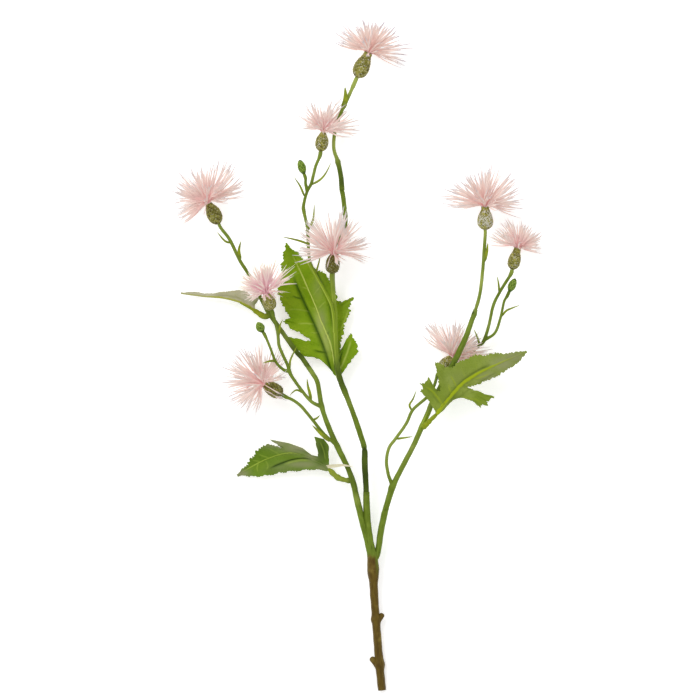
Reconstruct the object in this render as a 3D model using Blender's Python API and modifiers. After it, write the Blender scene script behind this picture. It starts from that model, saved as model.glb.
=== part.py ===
"""A cut knapweed spray lying on a table.

A forked stem in jointed lengths carries side shoots, four lobed leaves, nine heads of fine florets in
scaly cups, and three closed buds. Metres, +Z up, +Y along the spray from the cut end to the top head.

Routes are laid out on a sheet in millimetres: x to the right, y down the sheet towards the cut end, and
the height above the table. The sheet's centre is the part's origin.
"""

import math
import random
from collections import namedtuple

import bmesh
import bpy
import numpy
from mathutils import Matrix, Vector
from mathutils.bvhtree import BVHTree

MM = 0.001
SHEET_CENTRE = (359.0, 354.3)

# Touching pieces keep this gap, shared between the two faces of a joint.
GAP = 0.3
ROUTE_SPACING = 10.0
# How far below a head its stem comes into line with it.
APPROACH = 5.0
THIN_SIDES = 1
THICK_SIDES = 2
SLEEVE_LENGTH = 7.0
SLEEVE_WALL = 0.6

BLADE_THICKNESS = 0.8
BLADE_COLUMNS = 2

CUP_FOOT_RADIUS = 2.1
BUD_FOOT_RADIUS = 1.7
SCALE_COLUMNS = 14
SCALE_RELIEF = 0.07
BUD_COLUMNS = 10
CORE_SIDES = 9

# The dome that the florets of a head grow from: how many points it is spread over, and how far its flat
# foot lies below its middle.
DOME_POINTS = 54
DOME_DROP = 2.2
FLORET_RADIUS = 0.8
FLORET_SPREAD = math.radians(98)
FLORET_CLEARANCE = 0.5
FLORET_FREE_LENGTH = 2.2
FLORET_TRIES = 40
FLORET_STRAY = 0.04
FLORET_STRAY_STEP = 0.013
SEED = 15

# A head: the foot and mouth of its cup, the cup's widest radius and its neck's, how far the florets reach,
# and how round their fan is, where 1 is a full fan and less is a flatter one.
Head = namedtuple("Head", "foot mouth widest neck reach roundness")
# A closed bud: foot, tip and widest radius.
Bud = namedtuple("Bud", "foot mouth widest")
# A leaf: its rows, and for its left and right halves how far they bend up at full width and how they wave.
Leaf = namedtuple("Leaf", "rows left_bend right_bend left_wave right_wave")

# The three limbs, from the cut end or the fork towards the head that each one ends in.
CENTRE_LIMB = [
    (382, 691, 4.1), (379.5, 665, 6), (377.5, 640, 7.5), (376, 620, 9), (374, 590, 11.5),
    (373, 562, 13.5), (370.5, 545, 15.2), (368, 525, 17), (366.8, 508, 18.3), (366.5, 495, 19),
    (366, 480, 20), (365, 465, 21), (364.4, 449, 22), (361, 437, 22.6), (354, 417, 23.3),
    (346, 396, 23.8), (340, 380, 24), (337, 362, 24), (335.5, 340, 24), (334.5, 315, 24),
    (333, 292, 24.6), (332.3, 284, 26.2),
]
LEFT_LIMB = [
    (373, 566, 13.3), (370, 550, 15), (367, 535, 16), (363, 520, 17), (358, 500, 19),
    (356, 490.5, 20), (354, 482, 20.3), (350, 470, 20.8), (345, 460, 21.3), (340, 450, 22),
    (330, 428, 23), (322.5, 407, 24), (318, 383, 25), (313.5, 373, 25), (309.3, 366, 25),
    (303, 357, 24.6), (297, 350, 24), (284, 333, 23), (270, 314, 22), (263, 302, 22),
    (251, 276, 24), (241, 260, 25), (230, 240, 27),
]
RIGHT_LIMB = [
    (373.5, 564, 13.3), (377, 552, 14), (380, 532, 15.5), (383, 519, 16.5), (385.2, 510.5, 17.5),
    (390, 495, 19), (393, 485, 20), (404, 461, 22), (412, 445, 23), (419, 428, 23),
    (426, 412, 23.5), (430, 402, 24), (440, 386, 24), (449, 370, 26), (453, 362, 29),
    (458, 349, 34), (464, 336, 36), (470, 321, 37), (473.6, 312.5, 37), (479.5, 294, 36.6),
    (482.5, 270, 35.5), (484, 250, 34.7),
]
# The stem of the top head leaves the centre limb below its own head.
TOP_LIMB = [
    (334, 308, 23.5), (333.5, 298, 18.5), (332.8, 288, 16), (333, 268, 15), (338, 248, 15),
    (344, 230, 15.5), (345.5, 219, 16.5), (345, 212, 17), (343, 195, 19.5), (342, 191, 20),
    (341.5, 183, 21), (340.5, 173, 22), (338, 160, 23), (334, 146, 23.8), (335.5, 130, 24.3),
    (341, 113, 25), (347, 100, 26.5), (352, 89, 27.6),
]

# Side shoots, each fused to the length that it grows from, towards the head or bud that it carries.
SHOOT_TO_CENTRE_LEFT_HEAD = [
    (334.5, 332, 24), (333.8, 320, 27), (331.5, 306, 29.5), (326, 294, 29), (320, 283, 28),
    (314, 272, 27), (310, 262, 26), (308.5, 250, 25), (308, 238, 24), (307, 226, 24),
    (304, 212, 24.5), (303.6, 205, 24.8), (307, 192, 25), (311.5, 183, 26), (315.5, 167, 27),
]
SHOOT_TO_MIDDLE_LEFT_HEAD = [
    (322.5, 407, 24), (312, 402, 25.5), (303, 392, 26.5), (291, 375, 28), (288, 366, 28),
    (282, 353, 28), (279, 345, 29), (278, 335, 30), (276, 325, 30),
]
SHOOT_TO_LOWER_LEFT_HEAD = [
    (338, 446, 22.2), (324, 434, 24), (312, 419, 25.5), (301, 406, 26), (293, 400, 25.6),
]
SHOOT_TO_LOWER_RIGHT_HEAD = [
    (392.5, 486, 20), (388.5, 475, 20), (386.5, 461, 20), (389, 448, 20), (395, 439.5, 20),
    (406, 424, 20), (412, 411, 20), (419, 404, 19.5), (427, 397, 18.5), (434, 386, 16.5),
]
SHOOT_TO_OUTER_RIGHT_HEAD = [
    (431, 401, 24), (439, 388, 18), (448, 377, 10), (458, 366, 5), (470, 354, 6),
    (479, 346, 11), (484, 341, 15), (489, 325, 20), (493.5, 305, 22), (501, 290, 24),
]
STALK_TO_UPPER_BUD = [(307.3, 191, 25), (305.6, 184, 25.8)]
STALK_TO_LEFT_BUD = [(289, 371, 28), (284, 370, 28), (276, 362, 28), (270, 347, 28.5)]
STALK_TO_RIGHT_BUD = [(484.5, 340, 15.3), (495, 333, 18), (500.5, 318, 20), (504, 302, 22)]

# Radii along a length: (millimetres from its lower end, radius).
TRUNK_RADII = [(0, 4.0), (25, 4.3), (60, 4.0), (108, 3.6), (122, 5.2), (136, 4.9), (150, 3.5), (200, 3.4)]
ARM_RADII = [(0, 2.6), (10, 3.2), (25, 3.0)]
SHOOT_RADII = [(0, 1.9), (12, 1.65)]

# Pruned stubs on the trunk: root, tip and radius, with a low collar round the trunk at each root.
STUBS = [
    ((376.5, 624, 8.8), (383, 614, 9.8), 2.8),
    ((378.5, 667, 6.2), (371, 658, 7.2), 3.0),
]
COLLARS = [((376, 622, 8.9), (375.8, 618, 9.2), 4.9), ((379.6, 665.5, 6.0), (379.2, 661, 6.3), 5.1)]

# Thread-like bracts: route and the width at the foot.
LEFT_LOWER_BRACTS = [
    ([(290, 368, 28.5), (290.5, 360, 30), (297, 346, 31)], 1.8),
    ([(311, 400, 26), (310, 394, 28.5), (308, 386, 30), (307, 378, 31)], 2.6),
    ([(304.5, 393.5, 26.5), (297, 390, 28), (292, 393, 29), (290, 396, 29.5)], 1.8),
    ([(275, 361, 28.2), (270, 361, 29), (263, 363, 30)], 1.6),
    ([(279, 336, 30), (280, 326, 32), (283, 319, 33)], 1.8),
    ([(313, 420, 25.5), (317, 418, 27), (320, 415, 28)], 1.8),
    ([(329, 440, 23.5), (321, 434, 25.5), (313, 426, 27.5)], 1.8),
]
LEFT_UPPER_BRACTS = [
    ([(231.5, 243, 27), (225, 241, 29), (217, 232, 31)], 1.8),
    ([(240.5, 259, 25.2), (239, 251, 27.5), (241, 241, 29)], 2.0),
]
CENTRE_BRACTS = [
    ([(304.3, 196, 25), (300, 186, 26.5), (294, 177, 28)], 1.8),
    ([(311, 185, 26), (320, 180, 27.5), (326, 173, 28.5), (331, 163, 29.5)], 1.8),
    ([(307.5, 231, 24), (313, 220, 25), (314.5, 204, 27)], 1.8),
    ([(308.2, 244, 24.5), (300, 241, 26), (290, 238.5, 27), (282, 237, 28)], 1.8),
    ([(315.5, 275, 27.2), (319, 262, 28.5), (321, 253, 29.5)], 1.6),
]
TOP_BRACTS = [([(343, 109, 25.4), (345.5, 99, 29), (345, 87, 31)], 3.4)]
RIGHT_LOWER_BRACTS = [
    ([(412, 411, 20), (409.5, 405, 21), (413, 399, 22), (416.5, 390, 23)], 1.8),
    ([(396, 439, 20), (403, 438, 21), (413, 436.5, 22.5)], 1.8),
    ([(480, 345, 11.5), (477, 336, 13.5), (474, 329, 15)], 1.8),
    ([(499.3, 293, 23.5), (498.5, 284, 25.5), (497, 276, 26.5)], 1.8),
    ([(501, 317, 20.2), (506, 311, 21.5), (511, 308.5, 22.5), (520, 305, 24)], 1.8),
]
RIGHT_UPPER_BRACTS = [([(483.7, 262, 35), (486.5, 252, 37.5), (487.5, 243, 39)], 3.0)]

# Petioles: a route from the centre line of the stem into the blade. Its foot is a peg of the stem.
PEG_LENGTH = 4.8
PETIOLE_LIFT = 0.4
PETIOLE_LIFT_LENGTH = 8.0
PETIOLES = {
    "leaf_centre": [
        (341.5, 385, 24), (340, 382, 20.5), (338, 378, 17.5), (335.5, 368, 15.9), (333, 352, 14.7),
    ],
    "leaf_right": [
        (420, 426, 23.2), (424, 426, 26.5), (430, 421, 30), (436, 415, 33), (444, 404, 35.9),
        (458.5, 387, 37.4),
    ],
    "leaf_lower_left": [
        (353, 480, 20.4), (349, 480.5, 19.5), (345, 480, 18.5), (337, 477, 17), (329, 469.5, 15.6),
        (310, 458.5, 14.6),
    ],
    "leaf_upper_left": [
        (270.8, 315.2, 22), (266, 316.5, 21.6), (262, 315.5, 21), (252, 309, 20), (240, 302.5, 18.4),
    ],
}

# Leaf blades from foot to tip: a point of the midrib, then the edge on its left and on its right as the
# leaf points away. An edge point may add a height of its own. Where a lobe turns off, a pair gives a point
# on the way out and then the edge.
CENTRE_LEAF = [
    ((338, 379, 17.2), (337, 378), (339.2, 378)),
    ((336.8, 374, 16.4), (334, 374), (344, 371)),
    ((336.3, 371.5, 16.1), (331.5, 371), (350, 362)),
    ((335.9, 369.5, 15.8), (329, 368), (358, 351)),
    ((335.5, 367.5, 15.5), (327, 366), (357, 343)),
    ((335, 365.5, 15.3), (325, 364), (350.5, 333)),
    ((334.5, 363, 15.1), (322.5, 361.5), (345, 344)),
    ((334, 360.5, 14.9), (319, 359), (341.2, 349.5)),
    ((333.6, 358.5, 14.8), (310, 356.2), (340.4, 348)),
    ((333.3, 357, 14.7), (302, 355.2), (340.3, 346.5)),
    ((333, 355.5, 14.5), (295, 347), (340.3, 345)),
    ((332.7, 354, 14.4), (286, 337), (340.4, 343.5)),
    ((332, 350.5, 14.2), (312, 342), (340.8, 342)),
    ((330.6, 344.5, 13.6), (305, 336), (341.5, 340)),
    ((328.8, 339.5, 13), (297, 331), (343.5, 334)),
    ((326.6, 334.2, 12), (291, 329), (345, 323)),
    ((324.4, 329, 11), (283, 321), (351, 311)),
    ((322.7, 325, 10.2), (290, 317), (348.5, 309)),
    ((320.9, 320.8, 9.2), (284, 309), (354, 296.5)),
    ((319, 316, 8), (281, 302), (344, 301)),
    ((317, 310.5, 6.5), (276.5, 291), (338.5, 302)),
    ((314, 303, 4.2), (280, 284), (335, 290)),
    ((310.4, 294.5, 1.8), (279.5, 277), (328, 277)),
    ((306.6, 286, 0), (281.5, 271), (323, 271.5)),
    ((303.2, 278, 0), (280.5, 264), (315, 269)),
    ((299.8, 270.5, 0), (283, 259), (310, 260.5)),
    ((296.3, 263.2, 0), (282.5, 253), (303, 259)),
    ((292.6, 256, 0), (284.5, 249.5), (298.5, 252.5)),
    ((289.2, 249.5, 0), (284.8, 246), (291.4, 248.6)),
    ((286, 242.5, 0), (285.4, 243.2), (286.7, 243.4)),
]
RIGHT_LEAF = [
    ((437, 414, 33.2), (436, 413), (438.4, 414.4)),
    ((440, 409.6, 34.3), (430, 402), (445, 408)),
    ((441.8, 407.1, 34.9), ((434, 400.5), (425.5, 396)), (450, 402)),
    ((444, 404.2, 35.3), ((434.5, 398), (419.5, 391)), ((449, 401.5), (455, 398.5))),
    ((446, 402, 35.8), ((435.5, 396), (419.5, 384.5)), ((453, 399), (461, 396.5))),
    ((447.5, 400, 36.1), ((437, 394.8), (426.5, 378)), ((459, 396.3), (468, 397.5))),
    ((449, 398.3, 36.3), ((438.5, 394.3), (432.5, 386.5)), ((466, 394.3), (475, 402))),
    ((450.3, 396.8, 36.5), ((440.5, 394), (437.2, 391.2)), ((469, 393.5), (481, 407.5))),
    ((451.6, 395.2, 36.7), ((443.5, 393), (440, 390.8)), ((471, 392.9), (487.5, 405))),
    ((453, 393.5, 36.9), ((445.5, 390), (439, 384)), ((472, 392.2), (494.5, 396.5))),
    ((454.5, 391.8, 37), ((446.5, 384), (437, 373)), ((471, 391.3), (485, 393.8))),
    ((456.3, 389.9, 37.2), ((447, 377), (435, 361.5)), ((468, 390), (475, 391))),
    ((459, 386.6, 37.4), ((451.5, 375), (446, 367)), ((463, 387.3), (466.5, 388))),
    ((463, 383, 37.5), (452, 367.5), (472, 385)),
    ((468, 379.5, 37.5), (459, 361), (479, 384)),
    ((474, 375.6, 37.4), (465, 359.5), (484, 381)),
    ((480, 372.1, 37.1), (475, 354.5), (492, 378.5)),
    ((487, 368.6, 36.7), (484, 355.5), (500, 374.5)),
    ((495, 365, 36), (495, 352.5), (507, 369.5)),
    ((504, 361, 35), (505, 353.8), (515, 365)),
    ((514, 356.8, 33.9), (517, 351.5), (522, 358.5)),
    ((526.5, 351.5, 32.5), (525.8, 351), (526.6, 352.4)),
]
LOWER_LEFT_LEAF = [
    ((329, 470, 15.3), (328.2, 471), (329.4, 468.8)),
    ((327.2, 468.2, 15.2), (326.5, 471.5), (329.4, 456, 2)),
    ((325.9, 467, 15.1), (324.5, 471), (329.6, 444.5, 6)),
    ((324.8, 466.1, 15), (322.5, 470.5), (324, 439, 8)),
    ((323.6, 465.3, 14.9), (320.5, 470), (314.5, 436.5, 9)),
    ((322.2, 464.4, 14.8), (318.5, 469.5), (316.8, 446, 5)),
    ((320, 463.2, 14.7), (316, 469.5), (318.5, 456.5, 1)),
    ((315.5, 461, 14.6), (312, 470.5), (311.5, 455)),
    ((308, 457.6, 14.4), (305, 469.8), (302.5, 448)),
    ((301, 455, 14), (297, 471.8), (289, 443.2)),
    ((294.4, 453.3, 13.2), (290, 471), (270, 439.6)),
    ((291.5, 453.1, 12.8), (285, 473.3), (282, 448.2)),
    ((288, 453.2, 12.3), (279, 472.8), (266.5, 444)),
    ((281, 454.5, 11.1), (272, 475.5), (262, 446.5)),
    ((274, 456.5, 9.8), (265, 475.6), (255.5, 451)),
    ((267, 459.2, 8.3), (258.5, 477.5), (254, 455.5)),
    ((260, 462.4, 6.8), (252.5, 476.2), (248.5, 459.5)),
    ((253, 466, 5.2), (248, 477), (247, 465)),
    ((246, 470.2, 3.4), (243.5, 475.8), (242, 468.5)),
    ((237, 476, 1.2), (237.4, 476.8), (236.8, 475.2)),
]
UPPER_LEFT_LEAF = [
    ((254.5, 311, 20.2), (254.3, 310.7), (255.2, 310.6)),
    ((251, 308.2, 19.8), (250, 307), (262.5, 308.5, -2)),
    ((249.6, 307.4, 19.6), (248, 306), (266, 303, -3)),
    ((248.2, 306.6, 19.4), (246, 304.6), (263, 295.5, -1)),
    ((246.6, 305.7, 19.2), (244, 303), (252.5, 297.5)),
    ((242, 303.4, 18.6), (239.5, 299.6), (247, 291.5)),
    ((236, 301.2, 17.6), (233, 297.8), (238.5, 290)),
    ((229, 299.4, 16.4), (226, 296.5), (230.5, 291.2)),
    ((221, 297.9, 14.8), (218.5, 295.8), (221, 292)),
    ((213, 297.2, 13), (211, 295.6), (213, 293.8)),
    ((205, 296.6, 11.2), (203.5, 295.3), (204, 293.6)),
    ((195, 295.3, 8.8), (194, 294.3), (194.4, 292)),
    ((180.5, 293.4, 6), (180.9, 293), (180.9, 292.4)),
]
LEAVES = {
    "leaf_centre": Leaf(CENTRE_LEAF, 0.0, 2.5, 0.0, 0.9),
    "leaf_right": Leaf(RIGHT_LEAF, -1.2, -2.0, 1.0, 1.0),
    "leaf_lower_left": Leaf(LOWER_LEFT_LEAF, -1.0, 1.5, 0.7, 0.7),
    "leaf_upper_left": Leaf(UPPER_LEFT_LEAF, -9.0, -3.0, 0.5, 0.5),
}
# A slender lobe of the lower left leaf that passes over the stem.
CROSSING_LOBE = [(325, 467, 15.4), (334, 464.5, 19.5), (343, 464, 24.5), (353, 466, 27)]
CROSSING_LOBE_WIDTH = 3.4

HEADS = {
    "top": Head((357, 77.8, 29), (368.5, 53, 31), 8.2, 4.6, 36, 1.0),
    "centre_left": Head((320.6, 151.5, 29), (323.5, 132, 32), 6.5, 4.0, 27, 1.0),
    "upper_left": Head((219, 224, 28.5), (208.5, 203, 30), 8.0, 4.6, 38, 1.0),
    "centre": Head((332, 273, 30), (333.5, 254, 37), 7.0, 4.4, 35, 1.0),
    "middle_left": Head((271.5, 309.5, 32), (266.5, 293, 39), 6.6, 4.2, 30, 1.0),
    "lower_left": Head((282, 394.5, 26), (264, 384, 30), 7.0, 4.4, 36, 1.0),
    "right": Head((485, 230, 34), (485, 207, 34), 8.0, 4.2, 38, 1.0),
    "outer_right": Head((512, 269.5, 25.5), (517.5, 248, 26.5), 6.3, 3.8, 28, 1.0),
    "lower_right": Head((440.5, 371.5, 14), (452, 357, 13), 6.8, 4.2, 35, 0.7),
}
BUDS = {
    "upper": Bud((304, 174, 27), (299.5, 160, 28.5), 4.6),
    "left": Bud((263, 332, 29), (257.5, 322.5, 31), 4.8),
    "right": Bud((509.3, 291.5, 23), (515.2, 278.5, 25), 4.5),
}

# Colours as linear red, green and blue.
COLOURS = {
    "stem": (0.13, 0.24, 0.03),
    "trunk": (0.11, 0.07, 0.015),
    "leaf": (0.17, 0.35, 0.015),
    "cup": (0.2, 0.21, 0.05),
    "floret": (0.86, 0.6, 0.56),
    "bud": (0.05, 0.14, 0.02),
}
# The kind of piece by the first word of its name.
KINDS = {
    "main": "trunk", "branch": "stem", "stalk": "stem", "leaf": "leaf", "cup": "cup",
    "florets": "floret", "bud": "bud",
}


def clear_scene():
    """Removes the objects that the file opened with."""
    for item in list(bpy.data.objects):
        bpy.data.objects.remove(item, do_unlink=True)


def new_collection(name):
    """A collection of that name under the scene."""
    collection = bpy.data.collections.new(name)
    bpy.context.scene.collection.children.link(collection)
    return collection


def place(point):
    """A point of the layout sheet as metres in the part's frame."""
    x, y, height = point
    return Vector(((x - SHEET_CENTRE[0]) * MM, (SHEET_CENTRE[1] - y) * MM, height * MM))


def material(kind):
    """The Principled material of one kind of piece."""
    found = bpy.data.materials.get(kind)
    if found:
        return found
    made = bpy.data.materials.new(kind)
    made.use_nodes = True
    shader = made.node_tree.nodes["Principled BSDF"]
    shader.inputs["Base Color"].default_value = (*COLOURS[kind], 1.0)
    shader.inputs["Roughness"].default_value = 0.6
    shader.inputs["Metallic"].default_value = 0.0
    return made


def object_from(shape, name, collection, smooth=True):
    """An object of that name that holds the finished bmesh."""
    mesh = bpy.data.meshes.new(name)
    shape.to_mesh(mesh)
    shape.free()
    made = bpy.data.objects.new(name, mesh)
    collection.objects.link(made)
    if smooth:
        mesh.shade_smooth()
        mesh.set_sharp_from_angle(angle=math.radians(50))
    return made


def evaluated_mesh(item):
    """A copy of the object's mesh with its modifiers applied."""
    bpy.context.view_layer.update()
    graph = bpy.context.evaluated_depsgraph_get()
    return bpy.data.meshes.new_from_object(item.evaluated_get(graph))


def bake(item):
    """Applies the object's modifiers."""
    mesh = evaluated_mesh(item)
    item.modifiers.clear()
    old = item.data
    item.data = mesh
    bpy.data.meshes.remove(old)


def smooth_route(points, steps=10):
    """Close points along a smooth curve through the given ones."""
    first = points[0] * 2 - points[1]
    last = points[-1] * 2 - points[-2]
    padded = [first, *points, last]
    route = []
    for a, b, c, d in zip(padded, padded[1:], padded[2:], padded[3:]):
        for step in range(steps):
            t = step / steps
            bend = (a * 2 - b * 5 + c * 4 - d) * t * t
            twist = (b * 3 - a - c * 3 + d) * t * t * t
            route.append((b * 2 + (c - a) * t + bend + twist) / 2)
    route.append(points[-1])
    return route


def distances_along(route):
    """The distance of each point from the first, in metres."""
    total = 0.0
    found = [total]
    for a, b in zip(route, route[1:]):
        total += (b - a).length
        found.append(total)
    return found


def point_along(route, distances, wanted):
    """The point of the route at that distance."""
    for a, b, start, end in zip(route, route[1:], distances, distances[1:]):
        if wanted <= end:
            return a.lerp(b, (wanted - start) / (end - start))
    return route[-1].copy()


def nearest_distance(route, distances, target):
    """The distance along the route of its point nearest to the target."""
    gaps = [(point - target).length for point in route]
    return distances[gaps.index(min(gaps))]


def length_between(route, start, end):
    """The stretch of a route between two distances."""
    distances = distances_along(route)
    middle = [p for p, d in zip(route, distances) if start + 1e-5 < d < end - 1e-5]
    return [point_along(route, distances, start), *middle, point_along(route, distances, end)]


def led_to(points, carried):
    """The route's points, carried on to the foot of a head or bud along that piece's own axis."""
    foot = Vector(carried.foot)
    axis = (Vector(carried.mouth) - foot).normalized()
    return [*points, tuple(foot - axis * APPROACH), tuple(foot)]


def cut_at_joints(points, joints):
    """The smooth route through the points as lengths that stop half a gap short of each joint."""
    route = smooth_route([place(point) for point in points])
    distances = distances_along(route)
    stops = [nearest_distance(route, distances, place(joint)) for joint in joints]
    half = GAP * MM / 2
    starts = [0.0, *[stop + half for stop in stops]]
    ends = [*[stop - half for stop in stops], distances[-1] - GAP * MM]
    return [length_between(route, start, end) for start, end in zip(starts, ends)]


def radius_along(radii, distance):
    """The radius in metres at a distance in metres, from pairs in millimetres."""
    wanted = distance / MM
    if wanted <= radii[0][0]:
        return radii[0][1] * MM
    for (start, low), (end, high) in zip(radii, radii[1:]):
        if wanted <= end:
            return (low + (high - low) * (wanted - start) / (end - start)) * MM
    return radii[-1][1] * MM


def ring_distances(total, radii, spacing):
    """Where a tube has its rings: evenly, at each change of radius and close to both ends."""
    near_end = MM
    fixed = [0.0, near_end, total - near_end, total]
    fixed += [d * MM for d, _ in radii if near_end * 2 < d * MM < total - near_end * 2]
    count = max(1, round(total / (spacing * MM)))
    even = [total * step / count for step in range(1, count)]
    clear = [d for d in even if min(abs(d - f) for f in fixed) > spacing * MM * 0.4]
    return sorted(set(fixed + clear))


def tube(name, route, radii, collection, sides=THIN_SIDES, spacing=ROUTE_SPACING):
    """A bevelled curve along the route, made a closed mesh."""
    distances = distances_along(route)
    stations = ring_distances(distances[-1], radii, spacing)
    curve = bpy.data.curves.new(name, "CURVE")
    curve.dimensions = "3D"
    curve.bevel_depth = MM
    curve.bevel_resolution = sides
    curve.use_fill_caps = True
    spline = curve.splines.new("POLY")
    spline.points.add(len(stations) - 1)
    for point, distance in zip(spline.points, stations):
        point.co = (*point_along(route, distances, distance), 1.0)
        point.radius = radius_along(radii, distance) / MM
    path = bpy.data.objects.new(name + "_path", curve)
    collection.objects.link(path)
    mesh = evaluated_mesh(path)
    shape = bmesh.new()
    shape.from_mesh(mesh)
    bpy.data.meshes.remove(mesh)
    bpy.data.objects.remove(path)
    bpy.data.curves.remove(curve)
    bmesh.ops.remove_doubles(shape, verts=shape.verts[:], dist=1e-6)
    bmesh.ops.recalc_face_normals(shape, faces=shape.faces[:])
    return object_from(shape, name, collection)


def sleeved(radius, taper=0.0):
    """Radii of a length that starts in a sleeve: the sleeve's wall ends in a small step."""
    wide = radius + SLEEVE_WALL
    return [(0, wide), (SLEEVE_LENGTH, wide), (SLEEVE_LENGTH + 0.8, radius), (150, radius - taper)]


def flat_spike(name, route, width, collection, thickness=0.9):
    """A flat tapering strap along the route, four-sided and pointed."""
    shape = bmesh.new()
    last = len(route) - 1
    ring = []
    for index, point in enumerate(route[:-1]):
        ahead = (route[index + 1] - route[max(index - 1, 0)]).normalized()
        side = ahead.cross(Vector((0, 0, 1))).normalized()
        lift = side.cross(ahead).normalized()
        share = math.cos(index / last * math.pi / 2) ** 0.6
        reach = [side * width * MM / 2 * share, lift * thickness * MM / 2 * max(share, 0.7)]
        corners = [shape.verts.new(point + sign * reach[axis]) for sign in (1, -1) for axis in (0, 1)]
        if ring:
            for k in range(4):
                shape.faces.new((ring[k], ring[(k + 1) % 4], corners[(k + 1) % 4], corners[k]))
        else:
            shape.faces.new(corners)
        ring = corners
    tip = shape.verts.new(route[-1])
    for k in range(4):
        shape.faces.new((ring[k], ring[(k + 1) % 4], tip))
    bmesh.ops.recalc_face_normals(shape, faces=shape.faces[:])
    return object_from(shape, name, collection)


def fuse(base, extras, solver="EXACT"):
    """Joins the extras to the base as one body, and removes them."""
    if not extras:
        return base
    pool = new_collection(base.name + "_repeats")
    for extra in extras:
        for home in list(extra.users_collection):
            home.objects.unlink(extra)
        pool.objects.link(extra)
    union = base.modifiers.new("union", "BOOLEAN")
    union.operation = "UNION"
    union.solver = solver
    union.operand_type = "COLLECTION"
    union.collection = pool
    bake(base)
    for extra in extras:
        bpy.data.objects.remove(extra)
    bpy.data.collections.remove(pool)
    keep_largest(base)
    return base


def keep_largest(item):
    """Drops loose scraps, so that the node is one body."""
    shape = bmesh.new()
    shape.from_mesh(item.data)
    bmesh.ops.remove_doubles(shape, verts=shape.verts[:], dist=2e-6)
    bmesh.ops.dissolve_degenerate(shape, edges=shape.edges[:], dist=2e-6)
    groups = []
    unseen = set(shape.verts)
    while unseen:
        group = set()
        edge_of_group = [unseen.pop()]
        while edge_of_group:
            vertex = edge_of_group.pop()
            group.add(vertex)
            near = [edge.other_vert(vertex) for edge in vertex.link_edges]
            fresh = [other for other in near if other in unseen]
            unseen.difference_update(fresh)
            edge_of_group += fresh
        groups.append(group)
    groups.sort(key=len)
    for group in groups[:-1]:
        bmesh.ops.delete(shape, geom=list(group), context="VERTS")
    shape.to_mesh(item.data)
    shape.free()


def bract_set(name, bracts, collection):
    """The bracts of one length, as spikes to fuse to it."""
    made = []
    for index, (points, width) in enumerate(bracts):
        route = [place(point) for point in points]
        fine = smooth_route(route, 2) if len(route) > 3 else route
        made.append(flat_spike(f"{name}_bract_{index}", fine, width, collection))
    return made


def petiole_parts(leaf):
    """The petiole's route as the peg on the stem and the rest on the leaf, with a gap between."""
    route = smooth_route([place(point) for point in PETIOLES[leaf]])
    total = distances_along(route)[-1]
    peg = length_between(route, 0.0, PEG_LENGTH * MM)
    rest = length_between(route, (PEG_LENGTH + GAP) * MM, total)
    return peg, rest


def peg_on_stem(leaf, collection):
    """The peg that a leaf's petiole meets."""
    peg, _ = petiole_parts(leaf)
    return tube(leaf + "_peg", peg, [(0, 1.5)], collection, THIN_SIDES, 3.0)


def shoot(name, points, carried, collection):
    """A side shoot that starts inside its stem and stops a gap short of the head or bud on it."""
    route = smooth_route([place(point) for point in led_to(points, carried)])
    end = distances_along(route)[-1] - GAP * MM
    return tube(name, length_between(route, 0.0, end), SHOOT_RADII, collection)


def stub(name, root, tip, radius, collection):
    """A pruned stub with a rounded end."""
    route = [place(root), place(tip)]
    length = (route[1] - route[0]).length / MM
    radii = [
        (0, radius + 0.6), (length - 2.2, radius), (length - 0.8, radius * 0.8), (length, radius * 0.45),
    ]
    return tube(name, route, radii, collection, THICK_SIDES, 4.0)


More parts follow.
